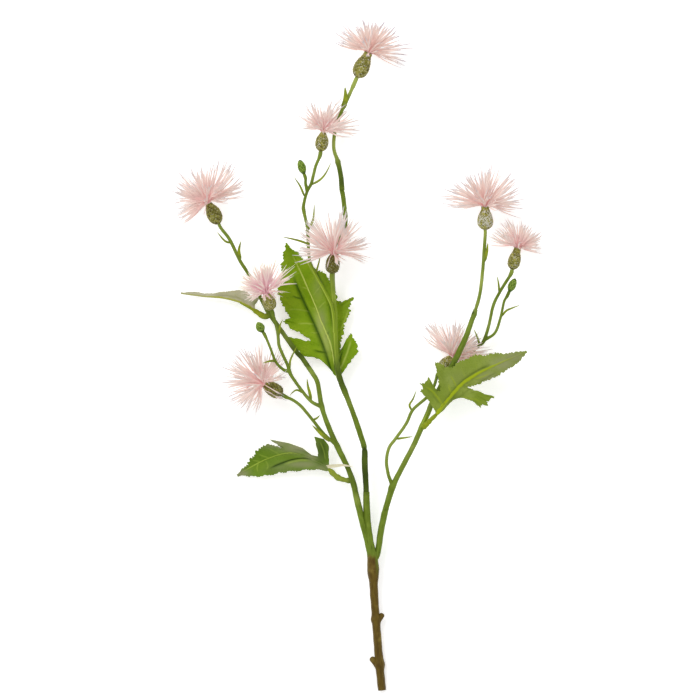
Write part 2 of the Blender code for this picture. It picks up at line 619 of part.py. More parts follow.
def stems(part):
    """Every jointed length of the spray, with the shoots, bracts and pegs that grow from it."""
    trunk, centre_lower, centre_middle, centre_stalk = cut_at_joints(
        led_to(CENTRE_LIMB, HEADS["centre"]), [(366.5, 495, 19), (364.4, 449, 22), (333, 292, 24.6)])
    left_arm, left_lower, left_upper = cut_at_joints(
        led_to(LEFT_LIMB, HEADS["upper_left"]), [(356, 490.5, 20), (309.3, 366, 25)])
    right_arm, right_lower, right_upper = cut_at_joints(
        led_to(RIGHT_LIMB, HEADS["right"]), [(385.2, 510.5, 17.5), (473.6, 312.5, 37)])
    top_lower, top_upper = cut_at_joints(led_to(TOP_LIMB, HEADS["top"]), [(342, 191, 20)])

    extras = [tube("left_arm", left_arm, ARM_RADII, part), tube("right_arm", right_arm, ARM_RADII, part)]
    extras += [stub(f"stub_{i}", root, tip, radius, part) for i, (root, tip, radius) in enumerate(STUBS)]
    for index, (low, high, radius) in enumerate(COLLARS):
        radii = [(0, radius - 0.9), (1.5, radius), (3.0, radius), (4.5, radius - 0.9)]
        extras.append(tube(f"collar_{index}", [place(low), place(high)], radii, part, THICK_SIDES, 4.0))
    fuse(tube("main_stem", trunk, TRUNK_RADII, part, THICK_SIDES, 12.0), extras)

    tube("branch_centre_lower", centre_lower, sleeved(2.6), part)
    extras = [
        tube("top_lower", top_lower, [(0, 2.3)], part),
        shoot("centre_left_shoot", SHOOT_TO_CENTRE_LEFT_HEAD, HEADS["centre_left"], part),
        shoot("upper_bud_stalk", STALK_TO_UPPER_BUD, BUDS["upper"], part),
        peg_on_stem("leaf_centre", part),
    ]
    extras += bract_set("centre", CENTRE_BRACTS, part)
    fuse(tube("branch_centre_middle", centre_middle, sleeved(2.5), part), extras)
    tube("stalk_centre", centre_stalk, [(0, 2.6), (3, 2.6), (3.8, 2.2)], part)
    top_radii = [(0, 2.6), (31, 2.4), (31.8, 1.8)]
    fuse(tube("branch_top", top_upper, top_radii, part), bract_set("top", TOP_BRACTS, part))

    extras = [
        shoot("middle_left_shoot", SHOOT_TO_MIDDLE_LEFT_HEAD, HEADS["middle_left"], part),
        shoot("lower_left_shoot", SHOOT_TO_LOWER_LEFT_HEAD, HEADS["lower_left"], part),
        shoot("left_bud_stalk", STALK_TO_LEFT_BUD, BUDS["left"], part),
        peg_on_stem("leaf_lower_left", part),
    ]
    extras += bract_set("left_lower", LEFT_LOWER_BRACTS, part)
    fuse(tube("branch_left_lower", left_lower, sleeved(2.5), part), extras)
    extras = [peg_on_stem("leaf_upper_left", part), *bract_set("left_upper", LEFT_UPPER_BRACTS, part)]
    fuse(tube("branch_left_upper", left_upper, sleeved(2.0, 0.3), part), extras)

    extras = [
        shoot("lower_right_shoot", SHOOT_TO_LOWER_RIGHT_HEAD, HEADS["lower_right"], part),
        shoot("outer_right_shoot", SHOOT_TO_OUTER_RIGHT_HEAD, HEADS["outer_right"], part),
        shoot("right_bud_stalk", STALK_TO_RIGHT_BUD, BUDS["right"], part),
        peg_on_stem("leaf_right", part),
    ]
    extras += bract_set("right_lower", RIGHT_LOWER_BRACTS, part)
    fuse(tube("branch_right_lower", right_lower, sleeved(2.4), part), extras)
    extras = bract_set("right_upper", RIGHT_UPPER_BRACTS, part)
    fuse(tube("branch_right_upper", right_upper, sleeved(1.8), part), extras)


def way_out(middle, edge, share):
    """The place in plan at a share of the way from the midrib to the edge, and the edge's own height."""
    turning = isinstance(edge[0], tuple)
    inner, outer = edge if turning else ([(m + e) / 2 for m, e in zip(middle, edge)], edge)
    own = outer[2] if len(outer) > 2 else 0.0
    start, end, part_way = (middle, inner, share * 2) if share <= 0.5 else (inner, outer, share * 2 - 1)
    x, y = (a + (b - a) * part_way for a, b in zip(start[:2], end[:2]))
    return x, y, own


def leaf(name, part):
    """A lobed leaf: a blade between its midrib and its two toothed edges, with the petiole fused on."""
    plan = LEAVES[name]
    rows = plan.rows
    columns = BLADE_COLUMNS * 2 + 1
    shape = bmesh.new()
    bmesh.ops.create_grid(shape, x_segments=columns - 1, y_segments=len(rows) - 1, size=1.0)
    corners = sorted(shape.verts, key=lambda v: (round(v.co.y, 5), round(v.co.x, 5)))
    for index, (middle, left, right) in enumerate(rows):
        along = index / (len(rows) - 1)
        fullness = math.sin(math.pi * min(max(along, 0.02), 0.98)) ** 0.7
        for column in range(columns):
            across = column / BLADE_COLUMNS - 1.0
            on_left = across < 0
            edge = left if on_left else right
            bend = plan.left_bend if on_left else plan.right_bend
            wave = plan.left_wave if on_left else plan.right_wave
            share = abs(across)
            x, y, own = way_out(middle, edge, share)
            ripple = wave * share * math.sin(along * 26 + across * 2)
            height = middle[2] + (bend * fullness + own) * share ** 1.3 + ripple * fullness
            corners[index * columns + column].co = place((x, y, max(height, 0.0)))
    bmesh.ops.recalc_face_normals(shape, faces=shape.faces[:])
    shape.normal_update()
    upward = sum(face.normal.z for face in shape.faces)
    if upward < 0:
        bmesh.ops.reverse_faces(shape, faces=shape.faces[:])
    bmesh.ops.triangulate(shape, faces=shape.faces[:])
    blade = object_from(shape, name, part)
    skin = blade.modifiers.new("thickness", "SOLIDIFY")
    skin.thickness = BLADE_THICKNESS * MM
    skin.offset = 1.0
    bake(blade)
    _, rest = petiole_parts(name)
    distances = distances_along(rest)
    total = distances[-1] / MM
    lifts = [PETIOLE_LIFT * min(1.0, distance / (PETIOLE_LIFT_LENGTH * MM)) for distance in distances]
    raised = [point + Vector((0, 0, lift * MM)) for point, lift in zip(rest, lifts)]
    radii = [(0, 1.4), (total * 0.5, 1.2), (total, 0.7)]
    extras = [tube(name + "_petiole", raised, radii, part, THIN_SIDES, 9.0)]
    if name == "leaf_lower_left":
        lobe = smooth_route([place(point) for point in CROSSING_LOBE], 2)
        extras.append(flat_spike("crossing_lobe", lobe, CROSSING_LOBE_WIDTH, part))
    fuse(blade, extras, "MANIFOLD")


def turned(name, profile, steps, collection):
    """A closed turned shape about Z: the profile runs from the top centre down its outer side."""
    shape = bmesh.new()
    corners = [shape.verts.new((radius * MM, 0.0, height * MM)) for radius, height in profile]
    for a, b in zip(corners, corners[1:]):
        shape.edges.new((a, b))
    made = object_from(shape, name, collection, smooth=False)
    screw = made.modifiers.new("turn", "SCREW")
    screw.steps = steps
    screw.render_steps = steps
    screw.use_merge_vertices = True
    screw.merge_threshold = 1e-5
    bake(made)
    return made


def settle(item, foot, ahead):
    """Turns the object's Z to point ahead from the foot, in the mesh itself."""
    turn = ahead.to_track_quat("Z", "X").to_matrix().to_4x4()
    item.data.transform(Matrix.Translation(foot) @ turn)
    item.data.shade_smooth()
    item.data.set_sharp_from_angle(angle=math.radians(50))


def scale_rows(item, rows, columns):
    """Raises a lattice of overlapping scales: every other corner of each row stands out."""
    heights = [height * MM for _, height in rows]
    for vertex in item.data.vertices:
        nearest = min(range(len(heights)), key=lambda i: abs(heights[i] - vertex.co.z))
        if nearest in (0, len(heights) - 1) or abs(heights[nearest] - vertex.co.z) > 0.01 * MM:
            continue
        angle = math.atan2(vertex.co.y, vertex.co.x)
        stand = 1 + SCALE_RELIEF * math.cos(columns / 2 * angle + math.pi * nearest)
        vertex.co.x *= stand
        vertex.co.y *= stand


def cup(name, head, part):
    """The scaly cup under a head."""
    neck = head.neck
    widest = head.widest
    axis = place(head.mouth) - place(head.foot)
    length = axis.length / MM
    outline = [
        (neck, 1.0), (neck * 0.98, 0.88), (widest * 0.76, 0.75), (widest * 0.9, 0.62),
        (widest * 0.98, 0.49), (widest, 0.36), (widest * 0.9, 0.23), (widest * 0.68, 0.12),
        (widest * 0.42, 0.04), (CUP_FOOT_RADIUS, 0.0),
    ]
    rows = [(radius, length * share) for radius, share in outline]
    made = turned(name, [(0, length), *rows, (0, 0)], SCALE_COLUMNS, part)
    scale_rows(made, rows, SCALE_COLUMNS)
    settle(made, place(head.foot), axis.normalized())


def bud(name, closed, part):
    """A closed bud: the same scales round a pointed egg."""
    widest = closed.widest
    axis = place(closed.mouth) - place(closed.foot)
    length = axis.length / MM
    outline = [
        (widest * 0.3, 0.97), (widest * 0.62, 0.86), (widest * 0.86, 0.7), (widest * 0.98, 0.54),
        (widest, 0.38), (widest * 0.86, 0.22), (widest * 0.56, 0.08), (BUD_FOOT_RADIUS, 0.0),
    ]
    rows = [(radius, length * share) for radius, share in outline]
    made = turned(name, [(0, length), *rows, (0, 0)], BUD_COLUMNS, part)
    scale_rows(made, rows, BUD_COLUMNS)
    settle(made, place(closed.foot), axis.normalized())


def sphere_points(count, radius):
    """Points spread evenly over a ball, in metres, as on a spiral from pole to pole."""
    found = []
    for index in range(count):
        height = 1 - 2 * (index + 0.5) / count
        turn = index * math.pi * (3 - math.sqrt(5))
        round_off = math.sqrt(1 - height * height)
        found.append(Vector((round_off * math.cos(turn), round_off * math.sin(turn), height)) * radius * MM)
    return found


def dome(radius, drop):
    """A small faceted ball, cut flat below: each facet above the cut is the root of a floret."""
    shape = bmesh.new()
    for point in sphere_points(DOME_POINTS, radius):
        if point.z > -drop * MM:
            shape.verts.new(point)
    rim = math.sqrt(radius * radius - drop * drop)
    for step in range(CORE_SIDES):
        turn = math.tau * step / CORE_SIDES
        shape.verts.new((rim * math.cos(turn) * MM, rim * math.sin(turn) * MM, -drop * MM))
    hull = bmesh.ops.convex_hull(shape, input=shape.verts[:])
    inside = [item for item in hull["geom_interior"] if isinstance(item, bmesh.types.BMVert)]
    bmesh.ops.delete(shape, geom=inside, context="VERTS")
    bmesh.ops.recalc_face_normals(shape, faces=shape.faces[:])
    shape.normal_update()
    return shape


def floret_points(heart, direction, reach, rng):
    """Shoulder and tip of a floret that bends a little and lies on the table where it meets it."""
    droop = Vector((rng.uniform(-1, 1), rng.uniform(-1, 1), rng.uniform(-1, 1))) * reach * 0.05
    shoulder = heart + direction * reach * 0.66
    tip = heart + direction * reach + droop
    shoulder.z = max(shoulder.z, FLORET_RADIUS * MM)
    tip.z = max(tip.z, 0.0)
    return shoulder, tip


def samples_along(root, shoulder, tip):
    """Points about 1.2 mm apart on a floret's centre line, from where it stands free of the dome."""
    found = []
    for a, b in ((root, shoulder), (shoulder, tip)):
        count = max(2, math.ceil((b - a).length / (1.2 * MM)))
        found += [a.lerp(b, step / count) for step in range(count + 1)]
    return [point for point in found if (point - root).length > FLORET_FREE_LENGTH * MM]


def is_clear(samples, trees, neighbours):
    """Whether a floret keeps clear of the other pieces and of its neighbours in the same head."""
    limit = (FLORET_RADIUS + FLORET_CLEARANCE) * MM
    for sample in samples:
        if any(tree.find_nearest(sample, limit)[0] for tree in trees):
            return False
    if not neighbours:
        return True
    gaps = numpy.array(samples)[:, None, :] - numpy.array(neighbours)[None, :, :]
    return float((gaps ** 2).sum(axis=2).min()) > (FLORET_RADIUS * 2.2 * MM) ** 2


def raise_floret(shape, facet, shoulder, tip):
    """Draws one facet of the dome out to the floret's shoulder and then to its point."""
    centre = facet.calc_center_median()
    ahead = (tip - centre).normalized()
    grown = bmesh.ops.extrude_discrete_faces(shape, faces=[facet])["faces"][0]
    for vertex in grown.verts:
        offset = vertex.co - centre
        offset -= ahead * offset.dot(ahead)
        vertex.co = shoulder + offset.normalized() * FLORET_RADIUS * MM
    poked = bmesh.ops.poke(shape, faces=[grown])
    poked["verts"][0].co = tip


def aim_floret(heart, direction, head, trees, neighbours, root, rng):
    """A shoulder and a tip that are clear, straying further with each try, or nothing."""
    for attempt in range(FLORET_TRIES):
        stray = FLORET_STRAY + FLORET_STRAY_STEP * attempt
        aim = direction + Vector((rng.uniform(-1, 1), rng.uniform(-1, 1), rng.uniform(-1, 1))) * stray
        aim.z *= head.roundness
        aim.normalize()
        reach = head.reach * MM * rng.uniform(0.86, 1.0)
        shoulder, tip = floret_points(heart, aim, reach, rng)
        samples = samples_along(root, shoulder, tip)
        if is_clear(samples, trees, neighbours):
            return shoulder, tip, samples
    return None


def tuft(name, head, trees, part, rng):
    """The florets of one head, drawn out from a small dome on the mouth of its cup."""
    axis = (place(head.mouth) - place(head.foot)).normalized()
    heart = place(head.mouth) + axis * (GAP + DOME_DROP) * MM
    frame = axis.to_track_quat("Z", "X").to_matrix()
    shape = dome(head.neck, DOME_DROP)
    bmesh.ops.transform(shape, matrix=Matrix.Translation(heart) @ frame.to_4x4(), verts=shape.verts[:])
    shape.normal_update()
    neighbours = []
    for facet in shape.faces[:]:
        centre = facet.calc_center_median()
        direction = (centre - heart).normalized()
        if direction.angle(axis) > FLORET_SPREAD or facet.normal.dot(axis) < -0.9:
            continue
        aimed = aim_floret(heart, direction, head, trees, neighbours, centre, rng)
        if aimed:
            shoulder, tip, samples = aimed
            neighbours += samples
            raise_floret(shape, facet, shoulder, tip)
    bmesh.ops.triangulate(shape, faces=shape.faces[:])
    bmesh.ops.recalc_face_normals(shape, faces=shape.faces[:])
    return object_from(shape, name, part)


def tree_of(item):
    """A search tree of the object's faces."""
    shape = bmesh.new()
    shape.from_mesh(item.data)
    tree = BVHTree.FromBMesh(shape)
    shape.free()
    return tree


def paint(part):
    """Gives each object the material of its kind."""
    for item in part.objects:
        item.data.materials.clear()
        item.data.materials.append(material(KINDS[item.name.split("_")[0]]))


def main():
    clear_scene()
    part = new_collection("knapweed_spray")
    rng = random.Random(SEED)
    stems(part)
    for name in LEAVES:
        leaf(name, part)
    for name, head in HEADS.items():
        cup("cup_" + name, head, part)
    for name, closed in BUDS.items():
        bud("bud_" + name, closed, part)
    trees = [tree_of(item) for item in part.objects]
    for name, head in HEADS.items():
        trees.append(tree_of(tuft("florets_" + name, head, trees, part, rng)))
    paint(part)


main()
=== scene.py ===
"""The looks of a cut knapweed spray, built as an add-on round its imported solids.

A moulded spray lies on a pale floor: a brown pruned stem that forks into three jointed green branches, four
lobed leaves, nine heads of split pink florets in scaly cups and three closed buds. Points of the layout are
millimetres on a sheet: x to the right, y down the sheet towards the cut end, and the height above the
floor. The sheet's centre is the model's origin.
"""

import math
import random
from collections import namedtuple

import bmesh
import bpy
import numpy as np
from mathutils import Matrix, Vector


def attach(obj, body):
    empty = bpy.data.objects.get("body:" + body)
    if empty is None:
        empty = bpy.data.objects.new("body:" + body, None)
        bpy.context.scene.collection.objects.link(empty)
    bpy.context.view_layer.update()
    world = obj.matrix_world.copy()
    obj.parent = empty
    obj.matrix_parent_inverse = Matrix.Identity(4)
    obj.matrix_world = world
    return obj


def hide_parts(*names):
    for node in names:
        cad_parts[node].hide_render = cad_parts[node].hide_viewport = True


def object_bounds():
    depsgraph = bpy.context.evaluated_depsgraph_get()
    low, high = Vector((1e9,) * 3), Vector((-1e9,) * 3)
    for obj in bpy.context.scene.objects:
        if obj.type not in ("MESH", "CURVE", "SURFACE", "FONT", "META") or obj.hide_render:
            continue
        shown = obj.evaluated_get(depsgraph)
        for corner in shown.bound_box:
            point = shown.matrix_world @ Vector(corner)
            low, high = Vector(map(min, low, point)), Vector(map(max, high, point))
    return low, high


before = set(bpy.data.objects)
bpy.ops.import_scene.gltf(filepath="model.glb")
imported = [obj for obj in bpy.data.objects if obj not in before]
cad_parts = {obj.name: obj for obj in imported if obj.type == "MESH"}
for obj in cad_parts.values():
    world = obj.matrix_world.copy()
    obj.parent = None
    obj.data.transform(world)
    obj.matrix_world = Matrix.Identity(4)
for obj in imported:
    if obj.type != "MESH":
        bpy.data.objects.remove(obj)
CAD_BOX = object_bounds()

bl_info = {
    "name": "Knapweed spray",
    "version": (1, 0, 0),
    "blender": (4, 5, 0),
    "location": "3D View > Sidebar > Knapweed",
    "description": "Builds the stems, leaves, cups, buds and florets of a cut knapweed spray",
    "category": "Object",
}

MM = 0.001
SHEET_CENTRE = (359.0, 354.3)
BODY = "root"

# The camera looks straight down from this height, far enough that the spray shows almost without
# perspective, and its view takes in this width at the height of the stems.
CAMERA_HEIGHT = 7.0
VIEW_WIDTH = 0.7
VIEW_CENTRE = (350.0, 350.0)
STEM_HEIGHT = 0.022
SENSOR_WIDTH = 36.0
FLOOR_DROP = 0.0006
FLOOR_SIZE = 30.0

# The way that the pieces are drawn, in millimetres, shares and counts.
APPROACH = 5.0
JOINT_LAP = 3.0
STEM_RIBS = 5
RIB_TWIST = 0.012
STEM_WOBBLES = [(0.022, 0.21, 0), (0.018, 0.57, 1)]
STRAND_STEP = 0.05
BRACT_SIDES = 8
BRACT_RINGS = 14
BRACT_CHANNEL = 0.35
BRACT_MATERIAL = 1
PETIOLE_MATERIAL = 2
LOBE_MATERIAL = 3
RIM_CURL = 0.25
TEETH_DRAWN = 400
TOOTH_TURN = 0.72
# Where the brown of the lower stem ends on the sheet, on the left of the fork and on its right.
BARK_END = 556.0
BARK_FADE = 3.0
BARK_END_RIGHT = 566.0
BARK_FADE_RIGHT = 16.0
SCALE_ACROSS = 4
SCALE_ALONG = 5
SCALE_THICKNESS = 0.3
SCALE_SINK = 0.5
SCALE_DISH = 0.35
SCALE_OUTLINE_SHARES = [0.0, 0.25, 0.5, 0.7, 0.85, 1.0]
SCALE_OUTLINE = [0.8, 1.0, 0.96, 0.74, 0.42, 0.06]
SCALE_ROWS = 11
SCALE_ROW_STEP = 0.082
SCALE_LENGTH_SHARE = 0.17
BODY_ROWS = 18
BODY_STEPS = 32
BODY_SHARE = 0.93
BUD_FOOT_RADIUS = 1.7
BUD_SCALE_LENGTH = 4.4
BUD_SCALE_ROWS = [(0.02, 7), (0.16, 8), (0.32, 8), (0.48, 7), (0.62, 6)]
FLORET_LENGTH = 34.0
FLORET_WIDTH = 1.2
FLORET_INSET = 1.2
FULL_REACH = 38
COUNT_GROWTH = 1.2
INNER_FLORETS = 18
INNER_SPREAD = math.radians(85)
INNER_WIDTH = 0.55
INNER_ALONG = 0.3
FLORET_KINDS = 8
RIBBON_KINDS = 3
RIBBON_SEED = 50
TUBE_STEPS = 2
LOBE_STEPS = 3
FLORET_GLOW = 0.09
HANGING_WIDTH = 0.8
CLUMP_SIZE = 4
CLUMPING = 0.3
FAN_TURNS = range(0, 360, 30)
FAN_STRETCH = 1.36
PETIOLE_LIFT = 0.4
PETIOLE_LIFT_STEPS = 40
PETIOLE_RADII = {
    "leaf_right": [
        (0, 2), (2, 2.6), (4, 3.1), (5.5, 2.5), (7.5, 3), (9.5, 2.3), (11.5, 2.6), (14, 2), (18, 2.2),
        (22, 1.7), (30, 1.3), (52, 0.5),
    ],
    "leaf_lower_left": [
        (0, 1.9), (3, 2.3), (5, 2.7), (7.5, 2.1), (10, 2.6), (13, 2.2), (16, 3), (20, 2.3), (24, 2.6),
        (29, 1.4), (34, 0.7), (60, 0.4),
    ],
    "leaf_upper_left": [
        (0, 2.1), (3, 2.7), (5.5, 3), (8, 2.7), (11, 2.9), (14, 2.4), (17, 2.3), (20, 1.6), (30, 1.2),
        (40, 0.9),
    ],
}
PETIOLE_KNOTS = {
    "leaf_lower_left": [
        ((349, 480.5, 19.5), 0.5, 2.5), ((340, 478, 17.5), 0.45, 3), ((332, 473, 16), 0.4, 3),
    ],
    "leaf_right": [((424, 426, 26.5), 0.3, 2), ((429, 421, 29.5), 0.3, 1.5)],
    "leaf_upper_left": [((262, 315.5, 21), 0.3, 2), ((255, 311, 20.3), 0.3, 2)],
}
TRUNK_KNOTS = [
    ((376, 621, 9), 1.1, 3.5), ((379.3, 664, 6.1), 1.3, 4), ((376.8, 640, 7.5), 0.2, 6),
    ((374, 596, 11), 0.3, 5), ((373.2, 575, 12.6), 0.3, 5), ((381.5, 685, 4.6), 0, 3),
]
# The lights: name, place and size in metres, and power in watts.
LIGHTS = [
    ("key", (-1.6, 1.8, 3.2), 2, 54),
    ("fill", (2.2, -0.6, 2.6), 2.4, 6),
]
SURROUND_STRENGTH = 0.74
FLOOR_GLOW = 0.34

# A head: the foot and mouth of its cup, the cup's widest radius and its neck's, the reach that sets the
# number of its florets and the length of the inner ones, how round its fan is, where 1 is a full fan and
# less is a flatter one, how far beyond the mouth the heart of the fan lies, and how far the outermost
# florets lean from the axis, in degrees.
Head = namedtuple("Head", "foot mouth widest neck reach roundness rise spread", defaults=(7, 108))
# The outlines of the cups from mouth to foot: the radius as shares of the neck's and of the widest radius,
# and the height share. A bottle keeps a straight neck, a barrel bulges right up to its mouth, and a pear
# widens evenly down to its middle.
CUP_OUTLINES = {
    "bottle": [
        (1, 0, 1), (0.96, 0, 0.9), (0, 0.68, 0.76), (0, 0.85, 0.63), (0, 0.96, 0.5),
        (0, 1, 0.36), (0, 0.93, 0.21), (0, 0.74, 0.1), (0, 0.48, 0.03), (0, 0.28, 0),
    ],
    "barrel": [
        (0.72, 0, 1), (0.9, 0, 0.92), (0, 0.74, 0.82), (0, 0.9, 0.68), (0, 0.99, 0.52),
        (0, 1, 0.38), (0, 0.95, 0.22), (0, 0.8, 0.1), (0, 0.56, 0.03), (0, 0.3, 0),
    ],
    "pear": [
        (0.62, 0, 1), (0, 0.5, 0.9), (0, 0.68, 0.8), (0, 0.83, 0.7), (0, 0.95, 0.6),
        (0, 1, 0.5),
        (0, 1, 0.38), (0, 0.9, 0.22), (0, 0.68, 0.1), (0, 0.45, 0.03), (0, 0.28, 0),
    ],
}
# The outline of each cup that isn't a bottle.
CUP_KINDS = {
    "centre": "barrel", "middle_left": "barrel", "lower_left": "barrel", "lower_right": "barrel",
    "centre_left": "pear", "upper_left": "pear",
}
# A closed bud: foot, tip and widest radius.
Bud = namedtuple("Bud", "foot mouth widest")
# A leaf: its rows, how far its left and right halves bend up at full width, and how high each half's waves
# are.
Leaf = namedtuple("Leaf", "rows left_bend right_bend left_wave right_wave")

# The three limbs, from the cut end or the fork towards the head that each one ends in.
CENTRE_LIMB = [
    (382, 691, 4.1), (379.5, 665, 6), (377.5, 640, 7.5), (376, 620, 9), (374, 590, 11.5),
    (373, 562, 13.5), (370.5, 545, 15.2), (368, 525, 17), (366.8, 508, 18.3), (366.5, 495, 19),
    (365.8, 480, 20), (364.9, 465, 21), (364.6, 449, 22), (361.3, 437, 22.6), (354.6, 417, 23.3),
    (346.7, 396, 23.8), (340.5, 380, 24), (337, 362, 24), (335.5, 340, 24), (334.5, 315, 24),
    (333, 292, 24.6), (332.3, 284, 26.2),
]
LEFT_LIMB = [
    (373, 566, 13.3), (369.3, 550, 15), (366, 535, 16), (361.9, 520, 17), (357, 500, 19),
    (355, 490.5, 20), (352.8, 482, 20.3), (348.6, 470, 20.8), (343.9, 460, 21.3), (338.9, 450, 22),
    (329, 428, 23), (321.8, 407, 24), (317.6, 383, 25), (312.6, 373.5, 25), (308.2, 366.7, 25),
    (302, 357.8, 24.6), (295.8, 350.9, 24), (283.4, 333.5, 23), (269.8, 314.2, 22), (262.8, 302, 22),
    (250, 276.5, 24), (240, 260.5, 25), (230, 240, 27),
]
RIGHT_LIMB = [
    (373.5, 564, 13.3), (377.9, 552, 14), (380.8, 532, 15.5), (383.5, 519, 16.5), (385.4, 510.5, 17.5),
    (390, 495, 19), (393.3, 485, 20), (405.5, 461, 22), (413.8, 445, 23), (421.3, 428, 23),
    (428.4, 412, 23.5), (432.3, 402, 24), (441, 386, 24), (449.5, 370, 26), (454, 362, 29),
    (460.2, 349, 34), (466, 336, 36), (471.3, 321, 37), (474.4, 312.5, 37), (479.6, 294, 36.6),
    (482.5, 270, 35.5), (484, 250, 34.7),
]
# The stem of the top head leaves the centre limb below its own head.
TOP_LIMB = [
    (334, 308, 23.5), (333.5, 298, 18.5), (332.8, 288, 16), (333, 268, 15), (338, 248, 15),
    (344, 230, 15.5), (345.5, 219, 16.5), (345, 212, 17), (343, 195, 19.5), (342, 191, 20),
    (341.5, 183, 21), (340.3, 173, 22), (337.6, 161, 22.9), (334.8, 153, 23.4), (333.6, 145, 23.8),
    (335.3, 130, 24.3),
    (341, 113, 25), (347, 100, 26.5), (352, 89, 27.6),
]

# Side shoots, each fused to the length that it grows from, towards the head or bud that it carries.
SHOOT_TO_CENTRE_LEFT_HEAD = [
    (334.5, 332, 24), (333.8, 320, 27), (331.5, 306, 29.5), (326, 294, 29), (320, 283, 28),
    (314, 272, 27), (310, 262, 26), (308.5, 250, 25), (308, 238, 24), (307, 226, 24),
    (304, 212, 24.5), (303.6, 205, 24.8), (307, 192, 25), (311.5, 183, 26), (315.5, 167, 27),
]
SHOOT_TO_MIDDLE_LEFT_HEAD = [
    (322.5, 407, 24), (312, 402, 25.5), (303, 392, 26.5), (291, 375, 28), (288, 366, 28),
    (282, 353, 28), (279, 345, 29), (278, 335, 30), (276, 325, 30),
]
SHOOT_TO_LOWER_LEFT_HEAD = [
    (338, 446, 22.2), (324, 434, 24), (312, 419, 25.5), (301, 406, 26), (293, 400, 25.6),
]
SHOOT_TO_LOWER_RIGHT_HEAD = [
    (392.8, 486, 20), (388.5, 475, 20), (386.5, 461, 20), (389, 448, 20), (395, 439.5, 20),
    (406, 424, 20), (412, 411, 20), (419, 404, 19.5), (427, 397, 18.5), (434, 386, 16.5),
]
SHOOT_TO_OUTER_RIGHT_HEAD = [
    (433, 401, 24), (440, 388, 18), (448.5, 377, 10), (458, 366, 5), (470, 354, 6),
    (479, 346, 11), (484, 341, 15), (489, 325, 20), (493.5, 305, 22), (501, 290, 24),
]
STALK_TO_UPPER_BUD = [(307.3, 191, 25), (305.6, 184, 25.8)]
STALK_TO_LEFT_BUD = [(289, 371, 28), (284, 370, 28), (276, 362, 28), (270, 347, 28.5)]
STALK_TO_RIGHT_BUD = [(484.5, 340, 15.3), (495, 333, 18), (500.5, 318, 20), (504, 302, 22)]

# Radii along a length: (millimetres from its lower end, radius).
TRUNK_RADII = [
    (0, 4), (25, 4.3), (60, 4), (79, 4.1), (94, 3.8), (108, 4.4), (122, 5.9), (136, 5.2), (150, 3.6),
    (200, 3.3),
]
LEFT_ARM_RADII = [(0, 2.6), (10, 3.3), (35, 3.4), (60, 3.3), (75, 3), (78, 2.9)]
RIGHT_ARM_RADII = [(0, 2.6), (10, 3.1), (25, 3.15), (48, 3.3), (52.5, 3.35), (54, 3)]
CENTRE_LOWER_RADII = [
    (0, 2.5), (1, 2.85), (12, 2.85), (25, 3), (36, 3.15), (42, 3.05), (45, 2.8), (46.2, 2.2),
]
CENTRE_MIDDLE_RADII = [
    (0, 2.1), (0.6, 2.5), (1.8, 2.8), (25, 2.7), (45, 2.5), (55, 2.6), (61, 3.1), (68, 3), (76, 2.7),
    (90, 2.5), (150, 2.5),
]
LEFT_LOWER_RADII = [
    (0, 2.7), (0.6, 2.95), (9, 3), (20, 2.65), (38, 2.8), (60, 2.6), (85, 2.35), (128, 2.35), (133, 2.5),
    (134.5, 2.2),
]
LEFT_UPPER_RADII = [
    (0, 2), (0.6, 2.4), (1.8, 2.5), (40, 2.3), (62, 2.2), (85, 1.85), (100, 1.65), (130, 1.75),
    (150, 1.65),
]
RIGHT_LOWER_RADII = [
    (0, 2.6), (0.8, 3), (24, 3.15), (31, 2.8), (48, 2.55), (100, 2.6), (150, 2.7), (176, 3), (188, 2.9),
    (197, 2.55), (214, 2.5), (217.5, 2.8), (219.5, 2.7), (220.5, 2.2),
]
RIGHT_UPPER_RADII = [(0, 1.5), (3, 1.55), (9, 1.85), (20, 1.75), (150, 1.7)]
STALK_CENTRE_RADII = [(0, 2.2), (0.5, 2.6), (3, 2.6), (3.8, 2.2)]
TOP_RADII = [(0, 2.1), (0.8, 2.6), (30.4, 2.4), (31.4, 1.8)]
# The last radii of a stem below its head, by the distance back from its end.
TOP_END_RADII = [(12, 1.8), (10.5, 2.3), (1, 2.1), (0, 1.8)]
SHOOT_RADII = [(0, 2.5), (3, 2.2), (6, 1.85), (12, 1.65)]
SHOOT_END_RADII = [(7.5, 1.55), (6, 2), (1, 2.1), (0, 1.8)]
BUD_STALK_SHARE = 0.82

# Pruned stubs on the trunk: root, tip and radius.
STUBS = [
    ((376.5, 624, 8.8), (383, 614, 9.8), 2.8),
    ((378.5, 667, 6.2), (371, 658, 7.2), 3),
]

# Thread-like bracts: route and the width at the foot.
LEFT_LOWER_BRACTS = [
    ([(290, 368, 28.5), (290.5, 360, 30), (297, 346, 31)], 1.8),
    ([(311, 400, 26), (310, 394, 28.5), (308, 386, 30), (307, 378, 31)], 2.6),
    ([(304.5, 393.5, 26.5), (297, 390, 28), (292, 393, 29), (290, 396, 29.5)], 1.8),
    ([(275, 361, 28.2), (270.5, 361, 37), (263, 363, 45)], 2),
    ([(279, 336, 30), (280, 326, 32), (283, 319, 33)], 1.8),
    ([(313, 420, 25.5), (317, 418, 27), (320, 415, 28)], 1.8),
    ([(330, 441, 24), (322, 434.5, 26.5), (312, 425, 28)], 3.2),
]
LEFT_UPPER_BRACTS = [
    ([(231.5, 243, 27), (225, 241, 29), (217, 232, 31)], 1.8),
    ([(240.5, 259, 25.2), (239, 251, 27.5), (241, 241, 29)], 2.7),
]
